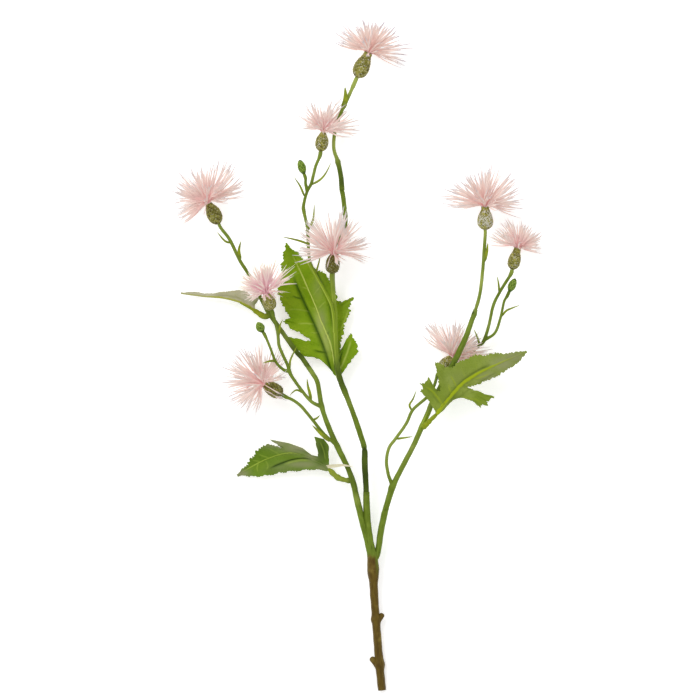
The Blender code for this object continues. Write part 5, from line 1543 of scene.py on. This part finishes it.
def patch_marks(name, places, dark):
    """How grey, how green and how dark the soft patches make each place of a leaf."""
    grey = np.zeros(len(places))
    green = np.zeros(len(places))
    for x, y, wide, deep, amount, shade in LEAF_PATCHES[name]:
        near = np.exp(-((places[:, 0] - x) / wide) ** 2 - ((places[:, 1] - y) / deep) ** 2)
        # Grey is partly the leaf's own grey and partly a painted sheen; the dark of a patch is painted
        # shade.
        if amount > 0:
            grey = np.maximum(grey, amount * near)
        else:
            green = np.maximum(green, -amount * near)
        dark = np.maximum(dark, shade * near)
    return grey, green, dark


def blade_shape(name):
    """A leaf's blade as a sheet with its marks, given its thickness."""
    sizes = context_sizes()
    columns = sizes.leaf_columns
    places, ribs, row_count = leaf_places(name, columns)
    rise, vein, dark = line_marks(name, places)
    grey, green, dark = patch_marks(name, places, dark)
    places[:, 2] = np.maximum(places[:, 2] + rise, 0.0)
    shape = bmesh.new()
    across = columns * 2 + 1
    bmesh.ops.create_grid(shape, x_segments=across - 1, y_segments=row_count - 1, size=1.0)
    # dark is painted shade, grey partly a painted sheen and vein partly painted highlights.
    marks = {
        "vein": vein, "dark": dark, "grey": grey, "green": green, "rib": ribs[:, 0], "rib_tone": ribs[:, 1],
    }
    layers = {mark: shape.verts.layers.float.new(mark) for mark in marks}
    order = sorted(shape.verts, key=lambda v: (round(v.co.y, 5), round(v.co.x, 5)))
    for index, corner in enumerate(order):
        corner.co = place(places[index])
        for mark, layer in layers.items():
            corner[layer] = float(marks[mark][index])
    turn_outwards(shape)
    shape.normal_update()
    if sum(face.normal.z * face.calc_area() for face in shape.faces) < 0:
        bmesh.ops.reverse_faces(shape, faces=shape.faces[:])
    mesh = mesh_of(shape, name + "_sheet")
    for slot in range(2):
        mesh.materials.append(None)
    sheet = bpy.data.objects.new(name + "_sheet", mesh)
    bpy.context.scene.collection.objects.link(sheet)
    skin = sheet.modifiers.new("thickness", "SOLIDIFY")
    skin.thickness = sizes.leaf_thickness
    skin.offset = 1.0
    skin.material_offset = 1
    bpy.context.view_layer.update()
    graph = bpy.context.evaluated_depsgraph_get()
    thick = bpy.data.meshes.new_from_object(sheet.evaluated_get(graph))
    shape = bmesh.new()
    shape.from_mesh(thick)
    bpy.data.objects.remove(sheet)
    bpy.data.meshes.remove(mesh)
    bpy.data.meshes.remove(thick)
    return shape


class KnapweedLeaves(bpy.types.Operator):
    """Builds the four lobed leaves with their petioles"""

    bl_idname = "knapweed.leaves"
    bl_label = "Leaves"

    def execute(self, context):
        sides = {side: leaf_material(f"embossed_polyethylene_leaf_{side}", side) for side in LEAF_LOOKS}
        stem = shared("moulded_polyethylene_stem", stem_material)
        for seed, name in enumerate(LEAVES, FIRST_PETIOLE_SEED):
            shape = blade_shape(name)
            blade_faces = len(shape.faces)
            route = smooth_route([place(point) for point in PETIOLES[name]])
            total = distances_along(route)[-1] / MM
            radii = PETIOLE_RADII.get(name) or [
                (0, 1.7), (3, 1.6), (7, 1.75), (9, 1.5), (total * 0.6, 1.2), (total, 0.6),
            ]
            for step, point in enumerate(route):
                point.z += PETIOLE_LIFT * MM * min(1.0, step / PETIOLE_LIFT_STEPS)
            add_stem(shape, route, radii, seed, PETIOLE_KNOTS.get(name, ()), yellowness=1.0)
            petiole_end = len(shape.faces)
            if name == "leaf_lower_left":
                add_bracts(shape, [(CROSSING_LOBE, CROSSING_LOBE_WIDTH)], LOBE_MATERIAL)
            shape.faces.ensure_lookup_table()
            for face in shape.faces[blade_faces:petiole_end]:
                face.material_index = PETIOLE_MATERIAL
            up, down, *_ = LEAF_SIDES[name]
            materials = [sides[up], sides[down], stem, sides["cream"]]
            finished(shape, name + "_blade", materials, [name], 60)
        return {"FINISHED"}


def turned_body(profile, steps):
    """A closed turned body about Z from pairs of radius and height in metres, top to bottom."""
    shape = bmesh.new()
    corners = [shape.verts.new((radius, 0.0, height)) for radius, height in profile]
    edges = [shape.edges.new(pair) for pair in zip(corners, corners[1:])]
    bmesh.ops.spin(
        shape, geom=[*corners, *edges], cent=(0, 0, 0), axis=(0, 0, 1), angle=math.tau, steps=steps,
        use_merge=True)
    bmesh.ops.remove_doubles(shape, verts=shape.verts[:], dist=1e-6)
    turn_outwards(shape)
    return mesh_of(shape, "turned_body")


def scale_template():
    """A closed plate two units wide and long and one thick, cut into a small lattice."""
    shape = bmesh.new()
    bmesh.ops.create_grid(shape, x_segments=SCALE_ACROSS, y_segments=SCALE_ALONG, size=1.0)
    raised = bmesh.ops.extrude_face_region(shape, geom=shape.faces[:], use_keep_orig=True)
    for item in raised["geom"]:
        if isinstance(item, bmesh.types.BMVert):
            item.co.z += 1.0
    turn_outwards(shape)
    mesh = mesh_of(shape, "scale_template")
    return mesh, corner_places(mesh)


def outline_of(rows):
    """A function from height share to radius, both in millimetres, through the rows."""
    pairs = sorted((share, radius) for radius, share in rows)
    shares = [share for share, _ in pairs]
    radii = [radius for _, radius in pairs]
    return lambda share: np.interp(share, shares, radii)


def scaly(name, nodes, carried, rows, plan, materials, frost=0.0, lightness=0.0):
    """A turned body covered with rows of overlapping pointed scales, set on its foot and axis.

    plan lists the rows of scales: the height share of their roots, how many there are, their length and
    width in millimetres, and how far their tips stand off.
    """
    axis = place(carried.mouth) - place(carried.foot)
    length = axis.length / MM
    outline = outline_of(rows)
    shape = bmesh.new()
    shares = [1.0 - step / BODY_ROWS for step in range(BODY_ROWS + 1)]
    profile = [(0.0, length * MM)]
    profile += [(float(outline(share)) * BODY_SHARE * MM, length * share * MM) for share in shares]
    profile.append((0.0, 0.0))
    body = turned_body(profile, BODY_STEPS)
    shape.from_mesh(body)
    body_corners = len(body.vertices)
    bpy.data.meshes.remove(body)
    template, pattern = scale_template()
    a, b, lift = pattern[:, 0], (pattern[:, 1] + 1) / 2, pattern[:, 2]
    rng = random.Random(name)
    blocks = []
    shades = []
    frosts = []
    for row, (root, count, long, wide, stand) in enumerate(plan):
        for index in range(count):
            shape.from_mesh(template)
            shades.append(rng.random())
            frosts.append(rng.uniform(0.5, 1.4) * (1.0 if root < 0.68 else 0.3))
            turn = math.tau * (index + 0.5 * (row % 2) + rng.uniform(-0.14, 0.14)) / count
            own_long = long * rng.uniform(0.8, 1.15)
            half = wide / 2 * np.interp(b, SCALE_OUTLINE_SHARES, SCALE_OUTLINE)
            height = length * root + b * own_long
            radius = outline(np.clip(height / length, 0, 1)) - SCALE_SINK
            radius = radius + stand * b ** 1.5 - SCALE_DISH * a * a * (1 - b) + lift * SCALE_THICKNESS
            angle = turn + a * half / np.maximum(radius, 1.2)
            blocks.append(np.stack(
                [radius * np.cos(angle), radius * np.sin(angle), height], axis=1) * MM)
    bpy.data.meshes.remove(template)
    mesh = mesh_of(shape, name)
    places = corner_places(mesh)
    places[body_corners:] = np.concatenate(blocks)
    turn = np.array(axis.normalized().to_track_quat("Z", "X").to_matrix())
    places = places @ turn.T + np.array(place(carried.foot))
    places[:, 2] = np.maximum(places[:, 2], 0.0)
    # Each scale's rims are paler, partly as a painted highlight, and it is painted darker towards its root,
    # as shade where the row above covers it.
    edge = np.maximum(np.abs(a) ** 3, b ** 4) * (b > 0.25) * 0.6
    root = (1 - b) ** 2 * 0.55
    tips = np.clip(0.2 + 0.8 * b, 0, 1) * frost
    marks = {
        "edge": (0.0, np.tile(edge, len(blocks))),
        "root": (0.45, np.tile(root, len(blocks))),
        "frost": (frost, np.outer(frosts, tips).ravel()),
        "shade": (0.5, np.clip(np.repeat(shades, len(pattern)) + lightness, 0, 1)),
    }
    scales = marked_shape(mesh, places, {
        mark: np.concatenate([np.full(body_corners, on_body), on_scales])
        for mark, (on_body, on_scales) in marks.items()
    })
    turn_outwards(scales)
    return finished(scales, name, materials, nodes, 40)


class KnapweedCups(bpy.types.Operator):
    """Builds the scaly cup under each head"""

    bl_idname = "knapweed.cups"
    bl_label = "Cups"

    def execute(self, context):
        count = context_sizes().scale_count
        materials = [cup_material()]
        for name, head in HEADS.items():
            rows = [
                (head.neck * at_neck + head.widest * at_widest, share)
                for at_neck, at_widest, share in CUP_OUTLINES[CUP_KINDS.get(name, "bottle")]
            ]
            tall = (place(head.mouth) - place(head.foot)).length / MM
            plan = []
            for step in range(SCALE_ROWS):
                root = step * SCALE_ROW_STEP
                around = count if 0.1 < root < 0.6 else count - 2
                wide = math.tau * head.widest / around * (1.3 - 0.5 * root)
                stand = 0.55 if root < 0.6 else 0.35
                plan.append((root, around, tall * SCALE_LENGTH_SHARE, wide, stand))
            _, frost, lightness = HEAD_TONES[name]
            scaly(
                f"cup_{name}_scales", [f"cup_{name}"], head, rows, plan, materials, frost,
                lightness)
        return {"FINISHED"}


class KnapweedBuds(bpy.types.Operator):
    """Builds the three closed buds"""

    bl_idname = "knapweed.buds"
    bl_label = "Buds"

    def execute(self, context):
        materials = [bud_material()]
        for name, closed in BUDS.items():
            widest = closed.widest
            rows = [
                (0.3, 1.0), (widest * 0.35, 0.96), (widest * 0.62, 0.86), (widest * 0.86, 0.7),
                (widest * 0.98, 0.54), (widest, 0.38), (widest * 0.86, 0.22), (widest * 0.56, 0.08),
                (BUD_FOOT_RADIUS, 0.0),
            ]
            plan = [
                (root, around, BUD_SCALE_LENGTH, math.tau * widest / around * (1.15 - 0.3 * root), 0.3)
                for root, around in BUD_SCALE_ROWS
            ]
            scaly(f"bud_{name}_scales", [f"bud_{name}"], closed, rows, plan, materials)
        return {"FINISHED"}


def floret_template(seed, ribbon=False):
    """A floret along +Y: a narrow flat tube that widens and splits into pointed lobes.

    A ribbon stays whole for most of its length. Gives back the mesh, its corners' places, how dark each
    corner's lobe is and how near it is to the lobe's rim.
    """
    rng = random.Random(seed)
    shape = bmesh.new()
    split = FLORET_LENGTH * (0.8 if ribbon else rng.uniform(0.42, 0.56))

    def tube_reach(distance, angle):
        share = distance / split
        half = 0.38 + 0.95 * share ** 1.8
        thick = 0.3 - 0.08 * share
        cupped = 0.5 * (math.cos(angle) ** 2 - 0.5) * share
        return half * math.cos(angle), thick * math.sin(angle) + cupped

    tube_line = [Vector((0, 0, 0)), Vector((0, split * MM, 0))]
    tube = sweep(shape, tube_line, 4, split * MM / TUBE_STEPS, tube_reach)
    tones = [0.5] * len(shape.verts)
    # How near each corner is to the rim of its tube or lobe sets the painted shade along its edges.
    rims = [abs(math.cos(angle)) * 0.8 for _, _, angle in tube]
    lobes = 3 if ribbon else rng.choice((3, 4, 4))
    for lobe in range(lobes):
        side = (lobe - (lobes - 1) / 2) / (lobes - 1) * 2
        root = Vector((side * 0.95, split - 1.8, 0.25 * (side * side - 0.5)))
        spread = side * (0.03 if ribbon else rng.uniform(0.12, 0.26))
        rise = rng.uniform(-0.07, 0.07) + 0.05 * (side * side - 0.4)
        long = FLORET_LENGTH * rng.uniform(0.86, 1.0) - root.y
        middle = root + Vector((spread * 0.4 + rng.uniform(-0.05, 0.05), 0.5, rise * 0.3)) * long
        tip = root + Vector((spread, 1.0, rise)) * long

        def lobe_reach(distance, angle, long=long):
            share = distance / long
            half = (0.55 + 0.5 * share) * max(0.0, 1 - share) ** 0.7 + 0.13
            return half * math.cos(angle), half * 0.35 * math.sin(angle)

        lobe_line = [root * MM, middle * MM, tip * MM]
        lobe_corners = sweep(shape, lobe_line, 4, long * MM / LOBE_STEPS, lobe_reach)
        tones += [rng.random()] * len(lobe_corners)
        rims += [abs(math.cos(angle)) for _, _, angle in lobe_corners]
    turn_outwards(shape)
    mesh = mesh_of(shape, f"floret_template_{seed}")
    return mesh, corner_places(mesh), np.array(tones), np.array(rims)


def stray_step(rng):
    """A step of up to one unit each way along each axis."""
    return Vector((rng.uniform(-1, 1), rng.uniform(-1, 1), rng.uniform(-1, 1)))


def cap_directions(count, spread, rng):
    """Directions spread evenly over a cap about +Z, with a little stray."""
    found = []
    low = math.cos(spread)
    for index in range(count):
        height = 1 - (1 - low) * (index + 0.5) / count
        turn = index * math.pi * (3 - math.sqrt(5))
        flat = math.sqrt(max(0.0, 1 - height * height))
        aim = Vector((flat * math.cos(turn), flat * math.sin(turn), height))
        found.append((aim + stray_step(rng) * 0.09).normalized())
    return found


def fan_reach(fan, direction):
    """How far the florets of a fan reach in a direction: as the fan says where they lie along the sheet."""
    turn = math.degrees(math.atan2(direction.y, direction.x))
    usual = sum(sorted(fan)[4:]) / len(fan[4:])
    flatness = math.hypot(direction.x, direction.y) / direction.length
    return usual + (np.interp(turn, FAN_TURNS, fan, period=360) - usual) * flatness


def inside_box(point):
    """The point, drawn in to stay a floret's own width inside the box of the solids."""
    low, high = (Vector(corner) for corner in CAD_BOX)
    inset = FLORET_INSET * MM
    return Vector(min(max(v, a + inset), b - inset) for v, a, b in zip(point, low, high))


def laid_floret(pattern, curve, roll, width):
    """A floret's corners bent along the curve through its root, its two handles and its tip."""
    share = np.clip(pattern[:, 1] / (FLORET_LENGTH * MM), 0, 1)[:, None]
    a, b, c, d = (np.array(point) for point in curve)
    rest = 1 - share
    centre = a * rest ** 3 + b * 3 * share * rest ** 2 + c * 3 * share ** 2 * rest + d * share ** 3
    ahead = (b - a) * rest ** 2 + (c - b) * 2 * share * rest + (d - c) * share ** 2
    ahead /= np.linalg.norm(ahead, axis=1)[:, None]
    side = np.cross(ahead, np.array(roll))
    side /= np.linalg.norm(side, axis=1)[:, None]
    lift = np.cross(side, ahead)
    return centre + (side * pattern[:, :1] + lift * pattern[:, 2:3]) * width


def open_florets(name, head, axis, turn, rng):
    """The curves of a head's open florets, in loose clumps: root, two handles and tip."""
    mouth = place(head.mouth)
    heart = mouth + axis * head.rise * MM
    count = round(context_sizes().floret_count * min(1.0, (head.reach / FULL_REACH) ** COUNT_GROWTH))
    spread = math.radians(head.spread)
    clumps = [
        (aim, rng.uniform(0.84, 1.04)) for aim in cap_directions(count // CLUMP_SIZE, spread, rng)
    ]
    curves = []
    for aim in cap_directions(count, spread, rng):
        clump, clump_reach = max(clumps, key=lambda pair: pair[0].dot(aim))
        direction = turn @ aim.lerp(clump, CLUMPING).normalized()
        direction.z *= head.roundness
        reach = fan_reach(HEAD_FANS[name], direction) * FAN_STRETCH * clump_reach
        reach *= rng.uniform(0.88, 1.04)
        outwards = direction - axis * direction.dot(axis)
        root = mouth + outwards * head.neck * 0.8 * MM
        stray = stray_step(rng)
        tip = inside_box(heart + (direction * reach + stray * reach * 0.05) * MM)
        first = root + axis * head.rise * (0.45 + 0.55 * max(0.0, direction.dot(axis))) * MM
        second = first + (direction * 0.4 + stray * 0.16) * reach * MM
        for x, y, radius, ceiling in FLORET_CEILINGS.get(name, ()):
            if math.dist(sheet_of(tip), (x, y)) < radius:
                tip.z = min(tip.z, ceiling * MM)
                second.z = min(second.z, ceiling * MM)
        curves.append((root, first, second, tip))
    return curves


def inner_florets(head, axis, turn, rng):
    """The curves of the short florets that fill the heart of a head."""
    curves = []
    for aim in cap_directions(INNER_FLORETS, INNER_SPREAD, rng):
        direction = turn @ aim
        root = place(head.mouth) + (direction - axis * direction.dot(axis)) * head.neck * 0.5 * MM
        stray = stray_step(rng)
        first = root + axis * head.rise * 0.8 * MM
        tip = first + (direction * rng.uniform(0.25, 0.45) + stray * 0.08) * head.reach * MM
        second = first.lerp(tip, 0.5) + stray * 0.05 * head.reach * MM
        curves.append((root, first, second, tip))
    return curves


def hanging_florets(name, head, axis):
    """The curves of the florets that hang over their cup, or lie over the stem behind their head."""
    curves = []
    for point in HANGING_FLORETS.get(name, ()):
        tip = place(point)
        towards = tip - place(head.mouth)
        outwards = (towards - axis * towards.dot(axis)).normalized()
        root = place(head.mouth) + outwards * head.neck * 0.75 * MM
        first = root + (axis * 0.15 + outwards * 0.3 + Vector((0, 0, 0.25))) * towards.length * 0.5
        second = first.lerp(tip, 0.45) + Vector((0, 0, 0.1)) * towards.length
        curves.append((root, first, second, tip))
    return curves


def florets_of_head(name, head, whole, ribbons, materials, rng):
    """Builds the florets of one head on a small dome in the mouth of its cup."""
    axis = (place(head.mouth) - place(head.foot)).normalized()
    turn = axis.to_track_quat("Z", "X").to_matrix()
    shape = bmesh.new()
    bmesh.ops.create_icosphere(shape, subdivisions=3, radius=head.neck * 0.78 * MM)
    for corner in shape.verts:
        corner.co.z *= 0.4
        corner.co = place(head.mouth) + turn @ corner.co
    dome = len(shape.verts)
    blocks = []
    marks = {"along": [np.full(dome, 0.25)], "tone": [np.full(dome, 0.5)], "rim": [np.zeros(dome)]}
    laid = [(curve, 1.0, 1.0, whole) for curve in open_florets(name, head, axis, turn, rng)]
    laid += [(curve, INNER_WIDTH, INNER_ALONG, ribbons) for curve in inner_florets(head, axis, turn, rng)]
    laid += [(curve, HANGING_WIDTH, 1.0, ribbons) for curve in hanging_florets(name, head, axis)]
    for curve, broad, paleness, kinds in laid:
        mesh, pattern, lobe_tones, rims = rng.choice(kinds)
        shape.from_mesh(mesh)
        roll = Vector((rng.uniform(-1, 1), rng.uniform(-1, 1), rng.uniform(0, 2))).normalized()
        width = broad * FLORET_WIDTH * rng.uniform(0.85, 1.15)
        blocks.append(laid_floret(pattern, curve, roll, width))
        marks["along"].append(pattern[:, 1] / (FLORET_LENGTH * MM) * paleness)
        darkness = 0.2 if broad == HANGING_WIDTH else rng.random()
        marks["tone"].append(np.clip(darkness + (lobe_tones - 0.5) * 0.9, 0, 1))
        marks["rim"].append(rims)
    mesh = mesh_of(shape, f"florets_{name}_split")
    places = corner_places(mesh)
    places[dome:] = np.concatenate(blocks)
    places = np.clip(places, *CAD_BOX)
    marks = {mark: np.concatenate(values) for mark, values in marks.items()}
    marks["rose"] = np.full(len(places), HEAD_TONES[name][0])
    florets = marked_shape(mesh, places, marks)
    finished(florets, f"florets_{name}_split", materials, [f"florets_{name}"], 60)


class KnapweedFlorets(bpy.types.Operator):
    """Builds the split florets of the nine heads"""

    bl_idname = "knapweed.florets"
    bl_label = "Florets"

    def execute(self, context):
        whole = [floret_template(seed) for seed in range(FLORET_KINDS)]
        ribbons = [floret_template(RIBBON_SEED + seed, ribbon=True) for seed in range(RIBBON_KINDS)]
        materials = [floret_material()]
        for seed, (name, head) in enumerate(HEADS.items(), FIRST_HEAD_SEED):
            florets_of_head(name, head, whole, ribbons, materials, random.Random(seed))
        for mesh, *_ in whole + ribbons:
            bpy.data.meshes.remove(mesh)
        return {"FINISHED"}


class KnapweedStage(bpy.types.Operator):
    """Sets the pale floor, the soft lights and the camera that looks down on the spray"""

    bl_idname = "knapweed.stage"
    bl_label = "Stage"

    def execute(self, context):
        scene = context.scene
        scene.view_settings.view_transform = "Standard"
        shape = bmesh.new()
        bmesh.ops.create_grid(shape, x_segments=1, y_segments=1, size=FLOOR_SIZE / 2)
        bmesh.ops.translate(shape, verts=shape.verts[:], vec=(0, 0, -FLOOR_DROP))
        mesh = mesh_of(shape, "floor")
        floor = bpy.data.objects.new("floor", mesh)
        scene.collection.objects.link(floor)
        paper, shader = new_material("matt_white_paper", 0.9, 0.1)
        shader.inputs["Base Color"].default_value = linear("#FFFFFF")
        shader.inputs["Emission Color"].default_value = (1.0, 1.0, 1.0, 1.0)
        shader.inputs["Emission Strength"].default_value = FLOOR_GLOW
        mesh.materials.append(paper)

        world = bpy.data.worlds.new("soft_surround")
        world.use_nodes = True
        background = world.node_tree.nodes["Background"]
        background.inputs["Color"].default_value = (1.0, 1.0, 1.0, 1.0)
        background.inputs["Strength"].default_value = SURROUND_STRENGTH
        scene.world = world
        for name, where, size, power in LIGHTS:
            lamp = bpy.data.lights.new(name, "AREA")
            lamp.shape = "DISK"
            lamp.size = size
            lamp.energy = power
            light = bpy.data.objects.new(name, lamp)
            light.location = where
            light.rotation_euler = (-Vector(where)).to_track_quat("-Z", "Y").to_euler()
            light.visible_camera = False
            scene.collection.objects.link(light)

        view = bpy.data.cameras.new("camera")
        view.sensor_width = SENSOR_WIDTH
        view.lens = SENSOR_WIDTH * (CAMERA_HEIGHT - STEM_HEIGHT) / VIEW_WIDTH
        view.clip_start = 0.1
        view.clip_end = 100.0
        camera = bpy.data.objects.new("camera", view)
        camera.location = place((*VIEW_CENTRE, CAMERA_HEIGHT / MM))
        camera.rotation_euler = (0.0, 0.0, 0.0)
        scene.collection.objects.link(camera)
        scene.camera = camera
        return {"FINISHED"}


class KnapweedPanel(bpy.types.Panel):
    """The pieces of the spray, in the 3D view's sidebar"""

    bl_idname = "VIEW3D_PT_knapweed"
    bl_label = "Knapweed spray"
    bl_space_type = "VIEW_3D"
    bl_region_type = "UI"
    bl_category = "Knapweed"

    def draw(self, context):
        layout = self.layout
        for group in (context.scene.knapweed_sizes, context.scene.knapweed_colours):
            column = layout.column()
            for name in group.bl_rna.properties.keys():
                if name not in {"rna_type", "name"}:
                    column.prop(group, name)
        for operator in OPERATORS:
            layout.operator(operator.bl_idname)


OPERATORS = (
    KnapweedMainStem, KnapweedBranches, KnapweedLeaves, KnapweedCups, KnapweedBuds, KnapweedFlorets,
    KnapweedStage,
)
CLASSES = (KnapweedSizes, KnapweedColours, *OPERATORS, KnapweedPanel)


def register():
    """Registers the add-on's classes and its properties on the scene."""
    for item in CLASSES:
        bpy.utils.register_class(item)
    bpy.types.Scene.knapweed_sizes = bpy.props.PointerProperty(type=KnapweedSizes)
    bpy.types.Scene.knapweed_colours = bpy.props.PointerProperty(type=KnapweedColours)


def unregister():
    """Takes the add-on's properties and classes away."""
    del bpy.types.Scene.knapweed_colours
    del bpy.types.Scene.knapweed_sizes
    for item in reversed(CLASSES):
        bpy.utils.unregister_class(item)


def main():
    """Builds every piece and the stage."""
    register()
    bpy.ops.knapweed.main_stem()
    bpy.ops.knapweed.branches()
    bpy.ops.knapweed.leaves()
    bpy.ops.knapweed.cups()
    bpy.ops.knapweed.buds()
    bpy.ops.knapweed.florets()
    bpy.ops.knapweed.stage()


if __name__ == "__main__":
    main()
